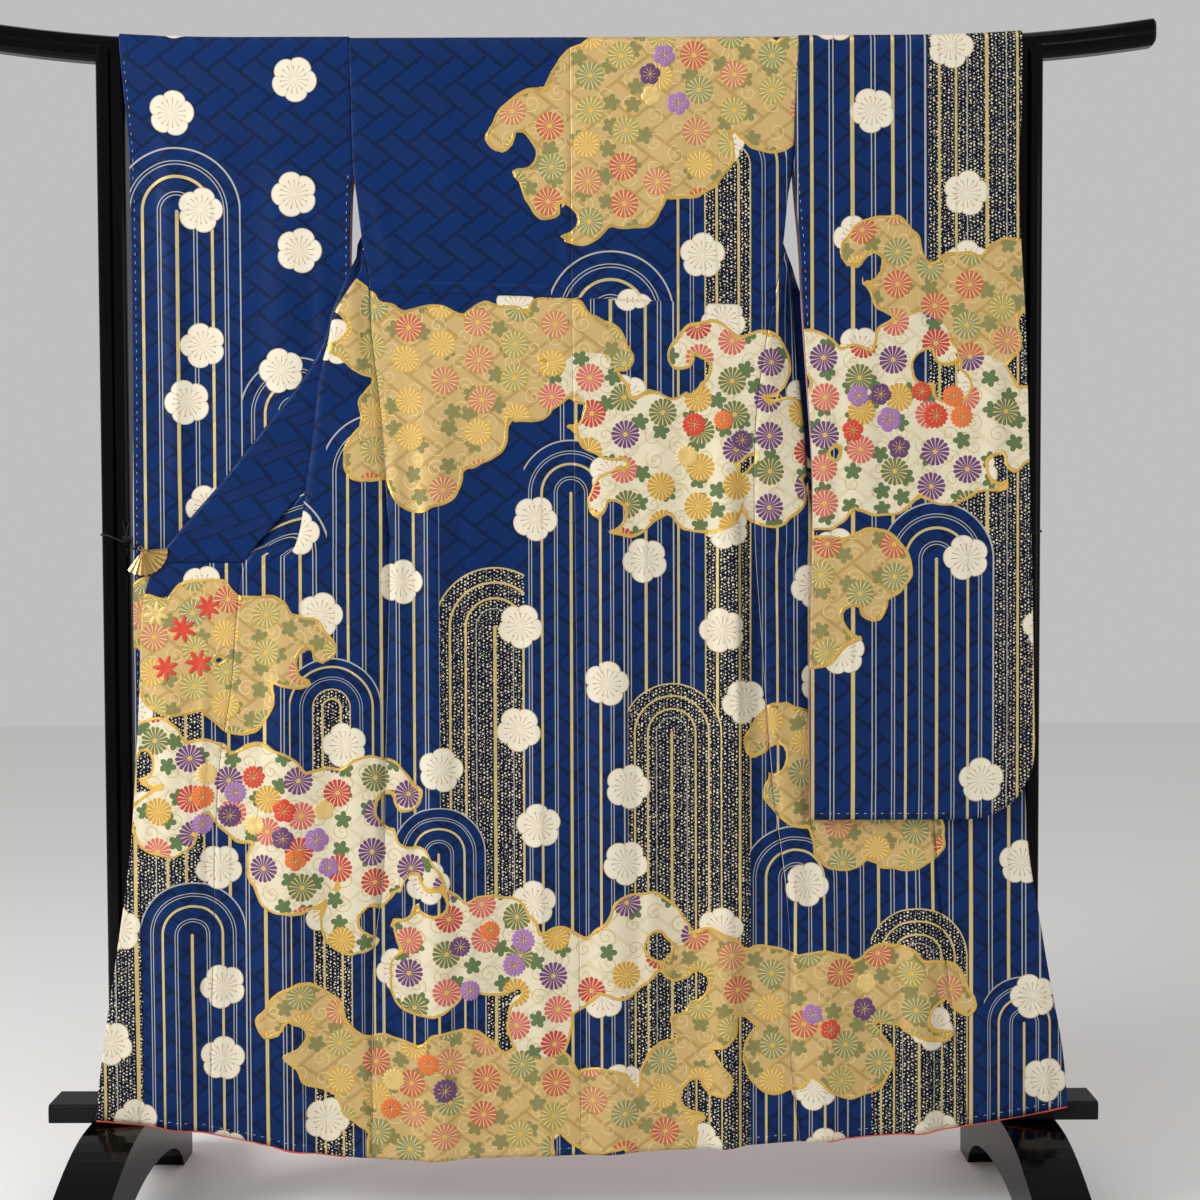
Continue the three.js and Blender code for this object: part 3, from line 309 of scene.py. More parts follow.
# Crests at the ends of the clouds: x, height, radius, and the side that each curls towards.
GOLD_CRESTS = [
    (-0.05, 1.665, 0.066, -1), (0.01, 1.56, 0.055, -1), (-0.335, 1.365, 0.055, -1), (0.025, 1.30, 0.062, 1),
    (-0.66, 0.865, 0.05, -1), (-0.415, 0.865, 0.055, 1), (0.325, 0.725, 0.058, -1), (0.60, 0.70, 0.056, 1),
    (0.205, 0.385, 0.06, -1), (0.54, 0.335, 0.06, 1), (-0.405, 0.305, 0.06, -1), (0.165, 0.215, 0.066, 1),
    (1.465, 1.455, 0.056, -1), (1.405, 0.93, 0.058, 1), (-1.49, 0.935, 0.056, 1),
]
CREAM_CRESTS = [
    (0.025, 1.25, 0.06, -1), (0.205, 1.305, 0.052, -1), (0.08, 1.085, 0.05, -1), (-0.625, 0.715, 0.05, -1),
    (-0.295, 0.645, 0.06, 1), (-0.255, 0.525, 0.05, 1), (0.11, 0.44, 0.06, 1), (-0.245, 0.50, 0.055, -1),
    (1.355, 1.285, 0.055, -1), (1.51, 1.305, 0.06, 1), (1.62, 1.15, 0.05, 1),
]
# What makes a crest, in radii of its own: how far across and up, how large, and whether it is taken out.
CREST = [(0, 0, 1, False), (0.42, -0.36, 0.44, True), (0.95, -0.78, 0.46, True), (0.80, -0.02, 0.32, False)]
# The design runs up to the shoulder and down again on the far side: the length of both runs, m.
SHOULDER = 3.64
CLOUD_BLEND, CLOUD_MARGIN, FAR_FROM_CLOUD = 0.008, 0.05, 0.3


def cloud_parts(lobes, crests, low, high):
    parts = [(x, z, radius, False) for x, z, radius in lobes]
    for across, up, size, taken in CREST:
        parts += [(x + lean * across * radius, z + up * radius, size * radius, taken)
                  for x, z, radius, lean in crests]
    return [part for part in parts if low < part[0] + part[2] and part[0] - part[2] < high]


def smooth_min(a, b, blend):
    h = max(blend - abs(a - b), 0) / blend
    return min(a, b) - h * h * h * blend / 6


def cloud_edge(parts, u, v):
    """Distance outside a group of rounded lobes and curling crests, in metres; negative inside."""
    edge = FAR_FROM_CLOUD
    for x, z, radius, taken in parts:
        away = math.hypot(u - x, v - z)
        edge = max(edge, radius - away) if taken else smooth_min(edge, away - radius, CLOUD_BLEND)
    return edge


def sheet(name, rows, flat_at, flip=False):
    """A grid of points, mm, as one piece of cloth, with its place on the opened garment as its UV."""
    count, width = len(rows), len(rows[0])
    bm = bmesh.new()
    bmesh.ops.create_grid(bm, x_segments=width - 1, y_segments=count - 1, size=1)
    bm.verts.ensure_lookup_table()
    uv = bm.loops.layers.uv.new("cloth")
    foil = bm.loops.layers.uv.new("foil")
    across = [u * MM for line in flat_at for u, _ in line]
    low, high = min(across) - CLOUD_MARGIN, max(across) + CLOUD_MARGIN
    gold = cloud_parts(GOLD_CLOUDS, GOLD_CRESTS, low, high)
    cream = cloud_parts(CREAM_CLOUDS, CREAM_CRESTS, low, high)
    flats = {}
    for i, vert in enumerate(bm.verts):
        r, c = divmod(i, width)
        vert.co = Vector(rows[r][c]) * MM
        u, v = flat_at[r][c][0] * MM, flat_at[r][c][1] * MM
        climb = min(v, SHOULDER - v)
        flats[vert] = (u, v), (cloud_edge(gold, u, climb), cloud_edge(cream, u, climb))
    if flip:
        bmesh.ops.reverse_faces(bm, faces=bm.faces)
    for face in bm.faces:
        face.smooth = True
        for loop in face.loops:
            loop[uv].uv, loop[foil].uv = flats[loop.vert]
    mesh = bpy.data.meshes.new(name)
    bm.to_mesh(mesh)
    bm.free()
    piece = bpy.data.objects.new(name, mesh)
    bpy.context.scene.collection.objects.link(piece)
    shell = piece.modifiers.new("thickness", "SOLIDIFY")
    shell.thickness = CLOTH * MM
    shell.offset = 0
    shell.material_offset = 1
    shell.material_offset_rim = 2
    return piece


def heights(step, low, high, extra=()):
    count = max(2, round((high - low) / step))
    rows = set(spread(count, high, low)) | set(extra)
    return sorted(rows, reverse=True)


# The cloth's way over the rail, y and z of each row: the backs, and the fronts on the far side.
OVER = [(14, 1779.5), (7, 1779.6), (0, 1779.6), (-7, 1779.5), (-12, 1779.3), (-16.5, 1778), (-20, 1776),
        (-22.5, 1773), (-24, 1769), (-25, 1763), (HANG_Y, HANG_Z)]
FAR_OVER = [(14.5, 1779.5), (18, 1779), (20.6, 1777.4), (22.6, 1775), (23.8, 1771.5), (24.6, 1767),
            (FAR_Y, HANG_Z)]
SLEEVE_OVER = [(-25, 1763), (-24.4, 1770), (-23, 1774.8), (-20.5, 1778), (-16, 1780.2), (-11, 1781),
               (0, 1781.2), (11, 1781), (16, 1780.2), (20.5, 1778), (23, 1774.8), (24.4, 1770)]


def puckers(x, z, seed):
    """The faint unevenness of hung silk."""
    return 0.35 * math.sin(x * 0.031 + z * 0.0113 + seed) * math.sin(z * 0.0171 - x * 0.013 + 2 * seed) \
        + 0.18 * math.sin(x * 0.083 - z * 0.021 + 3 * seed) * math.sin(z * 0.043 + seed)


def back_half(side):
    sign = SIGN[side]
    rows, flats = [], []

    def put(z, y, t):
        x = mix(along(CENTRE, z) + sign * 0.15, sign * (along(EDGES[side]["side"], z) - 0.15), t)
        near_seam = math.exp(-(t / 0.012) ** 2) + math.exp(-((1 - t) / 0.012) ** 2)
        free = smooth(HANG_Z, HANG_Z - 60, z)
        out = y - (fold_lift(BACK_FOLDS, x, z) + puckers(x, z, 1.3)) * free + 0.8 * near_seam * free
        return (x, out, drop_to(x, z))

    across = [0, 0.006, 0.014, *spread(40, 0.025, 0.975), 0.986, 0.994, 1]
    for y, z in OVER:
        rows.append([put(z, y, t) for t in across])
    top = len(rows) - 1
    tuck_top = TUCK["z"] + TUCK["height"]
    for z in heights(8, HEM, HANG_Z - 8, (tuck_top + 2.5, tuck_top, TUCK["z"] + 0.8, TUCK["z"] - 0.8)):
        lifted = TUCK["lift"] if TUCK["z"] < z <= tuck_top else 0
        row = []
        for t in across:
            x = mix(along(CENTRE, z), sign * along(EDGES[side]["side"], z), t)
            level = z + TUCK["slope"] * x * smooth(60, 20, abs(z - TUCK["z"] - 7))
            row.append(put(level, back_y(level) - lifted, t))
        rows.append(row)

    def hidden(p):
        """How far the design above the tuck is moved on, since the tuck hides a hand's breadth of it."""
        return TUCK["hides"] * smooth(TUCK["z"] - 1, TUCK["z"] + 1, p[2] - TUCK["slope"] * p[0])

    for r, row in enumerate(rows):
        over = 1779 + (top - r) * 5 if r <= 5 else None
        flats.append([(p[0], (over or p[2]) + hidden(p)) for p in row])
    return sheet(f"back_{side}_silk", rows, flats, flip=(side == "right"))


def opened(side, z, points):
    """Distance along a front's row from the centre line, as if the cloth lay open."""
    u = points[0][0]
    out = [u]
    for (x0, y0), (x1, y1) in zip(points, points[1:]):
        u += math.hypot(x1 - x0, y1 - y0)
        out.append(u)
    plain = [x for x, _ in points]
    share = smooth(1480, 1560, z)
    return [mix(a, b, share) for a, b in zip(out, plain)]


def front_half(side):
    sign = SIGN[side]
    rows, flats = [], []
    for y, z in FAR_OVER:
        points = front_row(side, z)
        rows.append([(sign * x, y, z) for x, _ in points])
        flats.append([(sign * u, z) for u in opened(side, z, points)])
    for z in heights(8, HEM, HANG_Z - 8):
        points = front_row(side, z)
        row = []
        for x, y in points:
            px = sign * x
            free = smooth(HANG_Z, HANG_Z - 60, z)
            out = y - fold_lift(FRONT_FOLDS, px, z) - puckers(px, z, 2.1) * free * smooth(1000, 900, z)
            row.append((px, out, drop_to(px, z)))
        rows.append(row)
        flats.append([(sign * u, p[2]) for u, p in zip(opened(side, z, points), row)])
    return sheet(f"front_{side}_silk", rows, flats, flip=(side == "right"))


def okumi(side):
    sign = SIGN[side]
    rows, flats = [], []
    for z in [COLLAR_END - 0.3] + heights(8, HEM, COLLAR_END - 8):
        row = []
        for t in [0, 0.015, 0.03, *spread(24, 0.06, 0.94), 0.98, 1]:
            x = mix(along(COLUMNS[side]["seam"], z) + 0.15, along(COLUMNS[side]["free"], z), t)
            px = sign * x
            y = hang_level(side, z, x) - fold_lift(FRONT_FOLDS, px, z) - puckers(px, z, 3.2)
            row.append((px, y + 0.8 * math.exp(-(t / 0.03) ** 2), drop_to(px, z)))
        rows.append(row)
        flats.append([(p[0], p[2]) for p in row])
    return sheet(f"okumi_{side}_silk", rows, flats, flip=(side == "right"))


def collar_row(side, z):
    seam = along(COLUMNS[side]["seam"], z) + 0.15
    free = along(COLUMNS[side]["free"], z)
    folded = smooth(1650, 1700, z)
    doubled = mix(4, 55, smooth(1700, 1750, z)) * folded
    gone = 1 - folded
    single = smooth(1110, 1045, z)

    def at(x, layer):
        return mix(layer_y(side, layer, x, z), hang_level(side, z, x), single)

    inner = seam - doubled
    sewn = mix(at(seam, 2), at(seam, 1), folded) + folded + 2 * LIP * folded * gone
    points = [(seam - 1.2 * folded, sewn)]
    points.append((mix(seam, inner, 0.5) + 4 * gone, at(seam, 2) - 0.8 * STRAND * folded))
    points.append((inner + 8 * gone, at(inner, 2) - STRAND / 2 * folded))
    start = inner + 1 + 13 * gone
    for t in spread(20):
        x = mix(start, free, t)
        points.append((x, at(x, 2)))
    return [(SIGN[side] * x, y, z) for x, y in points]


NECK_FAN = 0.0088


def collar():
    levels = sorted(set(heights(9, COLLAR_END, HANG_Z)) | {HANG_Z, COLLAR_END}, reverse=True)
    left = [collar_row("left", z) for z in levels][::-1]
    right = [collar_row("right", z) for z in levels]
    outer = FAR_Y + STRAND
    drop = [(14.8, 1779.5), (22.8, 1775), (FAR_Y, 1727)] + [(outer, z) for z in spread(20, 1726, 1768)]

    def drawn_in(i):
        return [0, 12, 38][i] if i < 3 else mix(39, 0, (i - 3) / 19)

    # The strip fans towards its fold as it nears each corner of the neck.
    neck = [[(x * (1 - NECK_FAN * drawn_in(i)), y, z) for i, (y, z) in enumerate(drop)]
            for x in spread(24, -84, 84)]

    def corner(sign):
        row = []
        for i, (y, z) in enumerate(drop):
            fall = [5, 10, 8][i] if i < 3 else mix(8, 0, (i - 3) / 19)
            row.append((sign * (103 - drawn_in(i)), max(y, 22.6), z - fall))
        return row

    rows = [*left, corner(-1), *neck, corner(1), *right]
    flats, v = [], 0
    for r, row in enumerate(rows):
        if r:
            v += (Vector(row[10]) - Vector(rows[r - 1][10])).length
        u, line = 0, []
        for c, p in enumerate(row):
            if c:
                u += (Vector(p) - Vector(row[c - 1])).length
            line.append((5000 + u, v))
        flats.append(line)
    return sheet("collar_silk", rows, flats, flip=True)


def sleeve(side):
    sign = SIGN[side]
    tables = EDGES[side]

    def low_at(t):
        q = max(0, (t - 0.66) / 0.34)
        return SLEEVE_BOTTOM + SLEEVE_CORNER * (1 - (1 - q ** 2.4) ** (1 / 2.4))

    def x_at(z, t):
        start = along(tables["side"] if z >= ARMHOLE else tables["sleeve_in"], z)
        return mix(start + 0.3, along(tables["sleeve_out"], z), t)

    def far_x(z, t):
        return min(x_at(z, t), mix(x_at(z, 1), 655, smooth(WRIST - 5, WRIST + 25, z)))

    def far_y(z, t):
        closed = smooth(0.8, 1, t) * smooth(WRIST + 180, WRIST, z)
        return mix(sleeve_far(side, z), sleeve_near(side, z) + mix(6, 0.4, smooth(0.95, 1, t)), closed)

    across = [0, 0.006, 0.014, *spread(32, 0.03, 0.66), *spread(20, 0.68, 0.965), 0.98, 0.99, 0.996, 1]
    shift = sign * 1000
    rows, flats = [], []
    for t in across:
        row, flat = [], []
        low = low_at(t)
        near = [mix(low, HANG_Z, f) for f in spread(120)]
        middle = (sleeve_near(side, low) + far_y(low, t)) / 2
        row.append((sign * x_at(low, t), middle, low - 1.2))
        flat.append((sign * x_at(low, t) + shift, low))
        for z in near:
            x = x_at(z, t)
            edge = math.exp(-(t / 0.008) ** 2) * smooth(ARMHOLE - 20, ARMHOLE, z)
            lift = fold_lift(SLEEVE_FOLDS, sign * x, z) + puckers(x * sign, z, 4.4) - 0.8 * edge
            bulge = 1.2 * math.exp(-((z - low) / 7) ** 2)
            tip = 1.2 * math.exp(-((z - low) / 2) ** 2)
            free = smooth(HANG_Z, HANG_Z - 60, z) * smooth(low, low + 60, z)
            y = sleeve_near(side, z) - lift * free - bulge + tip
            row.append((sign * x, y, z))
            flat.append((sign * x + shift, z))
        for y, z in SLEEVE_OVER:
            row.append((sign * min(x_at(z, t), 655 if y > 0 else 700), y, z))
            flat.append((sign * x_at(z, t) + shift, 1780 + (y + 25) / 2 if y > -20 else z))
        for z in near[::-1]:
            row.append((sign * far_x(z, t), far_y(z, t), z))
            flat.append((sign * far_x(z, t) + shift, SHOULDER / MM - z))
        row.append((sign * x_at(low, t), middle, low - 1.2))
        flat.append((sign * x_at(low, t) + shift, SHOULDER / MM - low))
        rows.append([(x, y, z + rail_rise(x) * smooth(1300, 1760, z)) for x, y, z in row])
        flats.append(flat)
    return sheet(f"sleeve_{side}_silk", rows, flats, flip=(side == "right"))


def rail_rise(x):
    return 28 * max(0, (abs(x) - 480) / 395) ** 2.2


cloth = {f"{kind}_{side}": make(side)
         for kind, make in (("back", back_half), ("front", front_half), ("okumi", okumi)) for side in SIGN}
cloth["collar"] = collar()
cloth.update({f"sleeve_{side}": sleeve(side) for side in SIGN})


# ---- Shader arithmetic ----
class Value:
    """One output of a shader node, so that shader arithmetic reads as ordinary arithmetic."""

    def __init__(self, net, socket):
        self.net = net
        self.socket = socket

    def math(self, operation, *others):
        return self.net.node("Math", {"operation": operation}, self, *others)

    def __add__(self, other):
        return self.math("ADD", other)

    def __sub__(self, other):
        return self.math("SUBTRACT", other)

    def __mul__(self, other):
        return self.math("MULTIPLY", other)

    def __truediv__(self, other):
        return self.math("DIVIDE", other)

    __radd__ = __add__
    __rmul__ = __mul__

    def __rsub__(self, other):
        return self.net.node("Math", {"operation": "SUBTRACT"}, other, self)

    def limited(self):
        return self.net.node("Clamp", {}, self)

    def below(self, level, soft):
        """1 where the value is below the level, 0 above it, with a soft edge."""
        return ((level - self) / soft + 0.5).limited()

    def near(self, level, half_width, soft):
        return (self - level).math("ABSOLUTE").below(half_width, soft)


class Net:
    def __init__(self, name):
        self.material = bpy.data.materials.new(name)
        self.material.use_nodes = True
        self.tree = self.material.node_tree
        self.shader = self.tree.nodes["Principled BSDF"]

    def node(self, kind, settings, *inputs, out=0):
        made = self.tree.nodes.new("ShaderNode" + kind)
        for key, value in settings.items():
            setattr(made, key, value)
        for socket, value in zip(made.inputs, inputs):
            self.feed(socket, value)
        return Value(self, made.outputs[out])

    def feed(self, socket, value):
        if isinstance(value, Value):
            self.tree.links.new(value.socket, socket)
        elif value is not None:
            socket.default_value = value

    def mix(self, share, a, b):
        made = self.tree.nodes.new("ShaderNodeMix")
        made.data_type = "RGBA"
        for k, value in ((0, share), (6, a), (7, b)):
            self.feed(made.inputs[k], value)
        return Value(self, made.outputs[2])

    def parts(self, vector):
        made = self.tree.nodes.new("ShaderNodeSeparateXYZ")
        self.feed(made.inputs[0], vector)
        return [Value(self, made.outputs[k]) for k in range(3)]

    def vector(self, x, y, z=0.0):
        return self.node("CombineXYZ", {}, x, y, z)

    def steps(self, value, table):
        """Looks a value from 0 to 1 up in a table of (start, colour) rows."""
        made = self.tree.nodes.new("ShaderNodeValToRGB")
        ramp = made.color_ramp
        ramp.interpolation = "CONSTANT"
        while len(ramp.elements) > 1:
            ramp.elements.remove(ramp.elements[0])
        for k, (start, colour) in enumerate(table):
            stop = ramp.elements[0] if k == 0 else ramp.elements.new(start)
            stop.position = start
            stop.color = (*colour[:3], 1)
        self.feed(made.inputs[0], value)
        return Value(self, made.outputs[0])

    def finish(self, **values):
        for name, value in values.items():
            self.feed(self.shader.inputs[name.replace("_", " ")], value)
        return self.material


def linear(code):
    """A colour as the painter names it, in hexadecimal, to the renderer's linear light."""
    out = []
    for k in (0, 2, 4):
        c = int(code[k:k + 2], 16) / 255
        out.append(c / 12.92 if c <= 0.04045 else ((c + 0.055) / 1.055) ** 2.4)
    return (*out, 1.0)


BLUE, BLUE_DEEP, NAVY = linear("03265a"), linear("02183c"), linear("060e26")
GOLD_LEAF, GOLD_LINE = linear("c9ab72"), linear("cfb777")
CREAM, WHITE = linear("dad0b4"), linear("ddd4bf")
SILK_SHINE, WEAVE_UNIT, WEAVE_FLATTEN, WEAVE_TURN = 0.13, 0.034, 1.28, 0.7854

# Bands of fine lines that rise to a round arch: middle, half width, height where the arch springs, and kind.
BANDS_BEHIND = [
    (-1.585, 0.095, 1.52, 0), (-1.41, 0.085, 1.22, 0), (-0.655, 0.105, 0.80, 1), (-0.46, 0.10, 1.01, 0),
    (-0.285, 0.09, 1.13, 0), (-0.115, 0.09, 0.90, 1), (0.06, 0.095, 1.40, 0), (0.235, 0.09, 1.62, 2),
    (0.41, 0.095, 1.50, 0), (0.60, 0.105, 0.76, 0), (1.42, 0.11, 1.95, 0), (1.62, 0.095, 1.95, 1)]
BANDS_BEFORE = [
    (-1.46, 0.07, 0.92, 1), (-0.57, 0.08, 0.44, 0), (-0.36, 0.075, 0.78, 2), (-0.20, 0.07, 0.56, 0),
    (0.0, 0.08, 1.10, 0), (0.15, 0.075, 0.74, 1), (0.335, 0.08, 0.52, 0), (0.52, 0.075, 0.40, 1),
    (0.68, 0.07, 0.30, 0), (1.545, 0.085, 1.00, 0)]
# Across half of a band, from its middle to its edge: w white thread, g gold thread, s speckle.
LINE = {
    0: [(0.00, "g"), (0.026, ""), (0.25, "w"), (0.264, ""), (0.30, "w"), (0.314, ""), (0.52, "g"),
        (0.57, ""), (0.73, "w"), (0.744, ""), (0.78, "w"), (0.794, ""), (0.972, "w")],
    1: [(0.00, "g"), (0.025, "s"), (0.30, "w"), (0.314, "s"), (0.46, "g"), (0.50, "s"), (0.72, "g"),
        (0.76, "s"), (0.972, "g")],
    2: [(0.00, "s"), (0.16, "g"), (0.20, "s"), (0.36, "g"), (0.385, ""), (0.56, "w"), (0.574, ""),
        (0.61, "w"), (0.624, ""), (0.80, "g"), (0.84, ""), (0.972, "w")],
}
CODE = {"": (0, 0, 0), "w": (1, 0, 0), "g": (0, 1, 0), "s": (0, 0, 1)}
# The colour ramps reach from -BAND_REACH to BAND_REACH, metres from the centre back.
BAND_REACH = 1.8


def band_layer(net, u, v, bands):
    """White thread, gold thread and speckle of one layer of bands, and where the layer lies."""
    low, high = -BAND_REACH, BAND_REACH
    table = [(0.0, (0, 0, 0))]
    for middle, half, spring, kind in bands:
        start, end = (middle - half - low) / (high - low), (middle + half - low) / (high - low)
        table.append((start, ((middle - low) / (high - low), spring / 2, half)))
        table.append((end, (0, 0, 0)))
    place = (u - low) / (high - low)
    merged = []
    for k, (start, colour) in enumerate(table):
        following = table[k + 1][0] if k + 1 < len(table) else 2
        if following - start > 1e-4:
            merged.append((start, colour))
    middle, spring, half = net.parts(net.steps(place, merged))
    kinds = [(max(0.0, (m - h - low) / (high - low)), (k / 4, 0, 0)) for m, h, _, k in bands]
    kind = net.parts(net.steps(place, kinds))[0]
    aside = (u - (middle * (high - low) + low)).math("ABSOLUTE")
    above = (v - spring * 2).math("MAXIMUM", 0.0)
    reach = (aside * aside + above * above).math("SQRT") / half.math("MAXIMUM", 0.001)
    inside = reach.below(1.0, 0.006) * half.math("GREATER_THAN", 0.01)
    lines = [net.steps(reach, [(s, CODE[c]) for s, c in LINE[k]]) for k in (0, 1, 2)]
    picked = net.mix(kind.math("GREATER_THAN", 0.12), lines[0], lines[1])
    picked = net.mix(kind.math("GREATER_THAN", 0.37), picked, lines[2])
    white, gold, speckle = net.parts(picked)
    return white * inside, gold * inside, speckle * inside, inside


def scattered(net, place, cell, jitter, seed):
    """Cells with one motif each: its own polar coordinates and three random numbers."""
    cells = net.node("VectorMath", {"operation": "DIVIDE"}, place, (cell, cell, 1.0))
    x, y, _ = net.parts(cells)
    y = y + (x.math("FLOOR") * 0.5).math("FRACT")
    row = net.vector(x.math("FLOOR"), y.math("FLOOR"), float(seed))
    made = net.tree.nodes.new("ShaderNodeTexWhiteNoise")
    net.feed(made.inputs[0], row)
    chance = net.parts(Value(net, made.outputs[1]))
    dx = x.math("FRACT") - 0.5 - (chance[0] - 0.5) * jitter
    dy = y.math("FRACT") - 0.5 - (chance[1] - 0.5) * jitter
    away = (dx * dx + dy * dy).math("SQRT") * cell
    turn = dy.math("ARCTAN2", dx) + chance[2] * 6.283
    return away, turn, chance


def higaki(net, place, turned):
    """The woven ground: slanting blocks, twice as long as wide, in a herringbone between narrow lines."""
    stretch = (1.0, WEAVE_FLATTEN, 1.0)
    flattened = net.node("VectorMath", {"operation": "MULTIPLY"}, place, stretch)
    x, y, _ = net.parts(net.node("VectorRotate", {"rotation_type": "Z_AXIS"}, flattened, None, None, turned))
    a, b = x / WEAVE_UNIT, y / WEAVE_UNIT
    over, up = a.math("FRACT"), b.math("FRACT")
    order = ((a.math("FLOOR") - b.math("FLOOR")) * 0.25 + 0.01).math("FRACT") * 4
    lying = order.below(1.5, 0.01)
    second = order.near(1.0, 0.4, 0.01) + order.near(2.0, 0.4, 0.01)
    along_block = over * lying + up * (1 - lying) + second
    across_block = up * lying + over * (1 - lying)
    gap = along_block.math("MINIMUM", 2 - along_block).math("MINIMUM", across_block)
    return lying, gap.math("MINIMUM", 1 - across_block).below(0.085, 0.05)


def silk(name, reach=None):
    """Figured silk. Reach is the stretch of the opened cloth that it covers, None where it is plain."""
    net = Net(name)
    u, run, _ = net.parts(net.node("UVMap", {"uv_map": "cloth"}))
    # The design climbs to the shoulder and comes down again on the other side.
    v = run.math("MINIMUM", SHOULDER - run)
    place = net.vector(u, v)
    lying, seams = higaki(net, place, WEAVE_TURN)
    warp = net.node("TexNoise", {}, net.vector(u * 220, v * 9), None, 1.0, 2.0)
    # Broad random tone in the blue ground, made strong enough to stand in for the silk's soft sheen: partly
    # painted sheen.
    tone_and_sheen = net.node("TexNoise", {}, place, None, 7.0, 2.0)
    ground = net.mix((lying * 0.2 + seams * 0.85 + (tone_and_sheen - 0.5) * 0.6).limited(), BLUE, BLUE_DEEP)
    relief = lying * 0.25 - seams * 0.4
    if reach is None:
        net.shader.inputs["Specular IOR Level"].default_value = SILK_SHINE
        return net.finish(Base_Color=ground, Roughness=0.42 + lying * 0.14,
                          Normal=with_height(net, relief, 0.35))
    left, right = reach

    bands = [[row for row in rows if left < row[0] + row[1] and row[0] - row[1] < right]
             for rows in (BANDS_BEHIND, BANDS_BEFORE)]
    white_a, gold_a, dots_a, _ = band_layer(net, u, v, bands[0])
    white_b, gold_b, dots_b, in_b = band_layer(net, u, v, bands[1])
    behind = 1 - in_b
    white = white_a * behind + white_b
    gold = gold_a * behind + gold_b
    dots = dots_a * behind + dots_b
    # Fine speckle of two sizes.
    coarse, _, luck = scattered(net, place, 0.0054, 0.4, 5)
    fine, _, luck_fine = scattered(net, place, 0.0037, 0.4, 9)
    grain = coarse.below(0.0005 + luck[2] * 0.0010, 0.0004)
    grain = grain + fine.below(luck_fine[2] * 0.0009 - 0.0002, 0.0003)
    grain = grain.limited()
    colour = net.mix(dots, ground, NAVY)
    colour = net.mix(dots * grain, colour, linear("ded4b4"))
    colour = net.mix(white * 0.8, colour, linear("b9b5a4"))
    colour = net.mix(gold, colour, GOLD_LINE)
    # White plum blossoms, five round petals with gold stamens.
    away, turn, luck = scattered(net, place, 0.150, 0.52, 3)
    rim = 0.0275 + (turn * 2.5).math("COSINE").math("ABSOLUTE").math("POWER", 0.6) * 0.0065
    # The left shoulder stays plain.
    bare = u.below(0.03, 0.01) * (u + 0.5).math("GREATER_THAN", 0.0) * (v - 1.42).math("GREATER_THAN", 0.0)
    plum = away.below(rim, 0.0006) * luck[2].math("GREATER_THAN", 0.12) * (1 - bare)
    between = (turn * 2.5).math("COSINE").math("ABSOLUTE").below(0.05, 0.04)
    inked = away.near(rim - 0.0007, 0.0007, 0.0003)
    inked = inked + between * (away - rim * 0.55).math("GREATER_THAN", 0.0)
    spoke = (turn * 15).math("SINE")
    stamen = spoke.near(1.0, 0.07, 0.05) * away.below(rim * 0.62, 0.001)
    stamen = stamen * (away - 0.003).math("GREATER_THAN", 0.0)
    stamen = (stamen + away.near(rim * 0.62, 0.0010, 0.0005) * spoke.near(1.0, 0.2, 0.1)).limited()
    blossom = net.mix((inked * 0.6).limited(), WHITE, linear("a98f5c"))
    blossom = net.mix(stamen * 0.9, blossom, linear("9c7431"))
    # Clouds of gold and of cream foil.
    wavering = net.node("TexNoise", {}, place, None, 22.0, 1.0)
    ripple = (wavering - 0.5) * 0.022
    gold_edge, cream_edge, _ = net.parts(net.node("UVMap", {"uv_map": "foil"}))
    gold_edge = gold_edge + ripple
    cream_edge = cream_edge + ripple
    in_gold = gold_edge.below(0.0, 0.0006)
    in_cream = cream_edge.below(0.0, 0.0006)
    in_cloud = in_gold.math("MAXIMUM", in_cream)
    colour = net.mix(plum * (1 - in_cloud), colour, blossom)
    foil = net.mix(seams * 0.6 + lying * 0.12, GOLD_LEAF, linear("a8884c"))
    paper = net.mix(seams * 0.4 + lying * 0.1, CREAM, linear("c4b690"))
    filling = net.mix(in_cream, foil, paper)
    # Scrolling vines, then leaves and small flowers in the clouds.
    curl, bend, luck = scattered(net, place, 0.036, 0.2, 21)
    scroll = ((curl * 700 + bend).math("SINE")).near(1.0, 0.06, 0.08) * curl.below(0.0145, 0.002)
    filling = net.mix(scroll, filling, net.mix(in_cream, linear("e3cf94"), linear("b09a55")))
    leaf, spin, luck = scattered(net, place, 0.041, 0.5, 33)
    leaf_rim = 0.0115 + (spin * 2.5).math("COSINE").math("ABSOLUTE") * 0.006 - 0.004
    leafy = leaf.below(leaf_rim, 0.0006) * luck[2].math("GREATER_THAN", 0.35)
    green = net.mix(in_cream, linear("85804f"), linear("5d7048"))
    filling = net.mix(leafy, filling, green)
    flower, spin, luck = scattered(net, place, 0.054, 0.20, 41)
    petals = (spin * 8).math("COSINE").math("ABSOLUTE")
    bloom = flower.below(0.0185 + petals * 0.0028, 0.0006)
    vivid = net.steps(luck[2], [(0.0, linear("6a4470")), (0.22, linear("b5473d")), (0.45, linear("c29638")),
                                (0.62, linear("c4675a")), (0.8, linear("6f7242"))])
    muted = net.steps(luck[2], [(0.0, linear("b9653f")), (0.2, linear("a8964e")), (0.42, linear("c9a14c")),
                                (0.62, linear("bd7d52")), (0.78, linear("8f8a52"))])
    tint = net.mix(in_cream, muted, vivid)
    gaps = petals.below(0.32, 0.2) * (flower - 0.004).math("GREATER_THAN", 0.0)
    tint = net.mix(gaps * 0.75, tint, linear("eadcb4"))
    tint = net.mix(flower.below(0.0036, 0.0006), tint, linear("d9b45a"))
    shown = bloom * luck[1].math("GREATER_THAN", 0.12)
    filling = net.mix(shown, filling, tint)
    colour = net.mix(in_cloud, colour, filling)
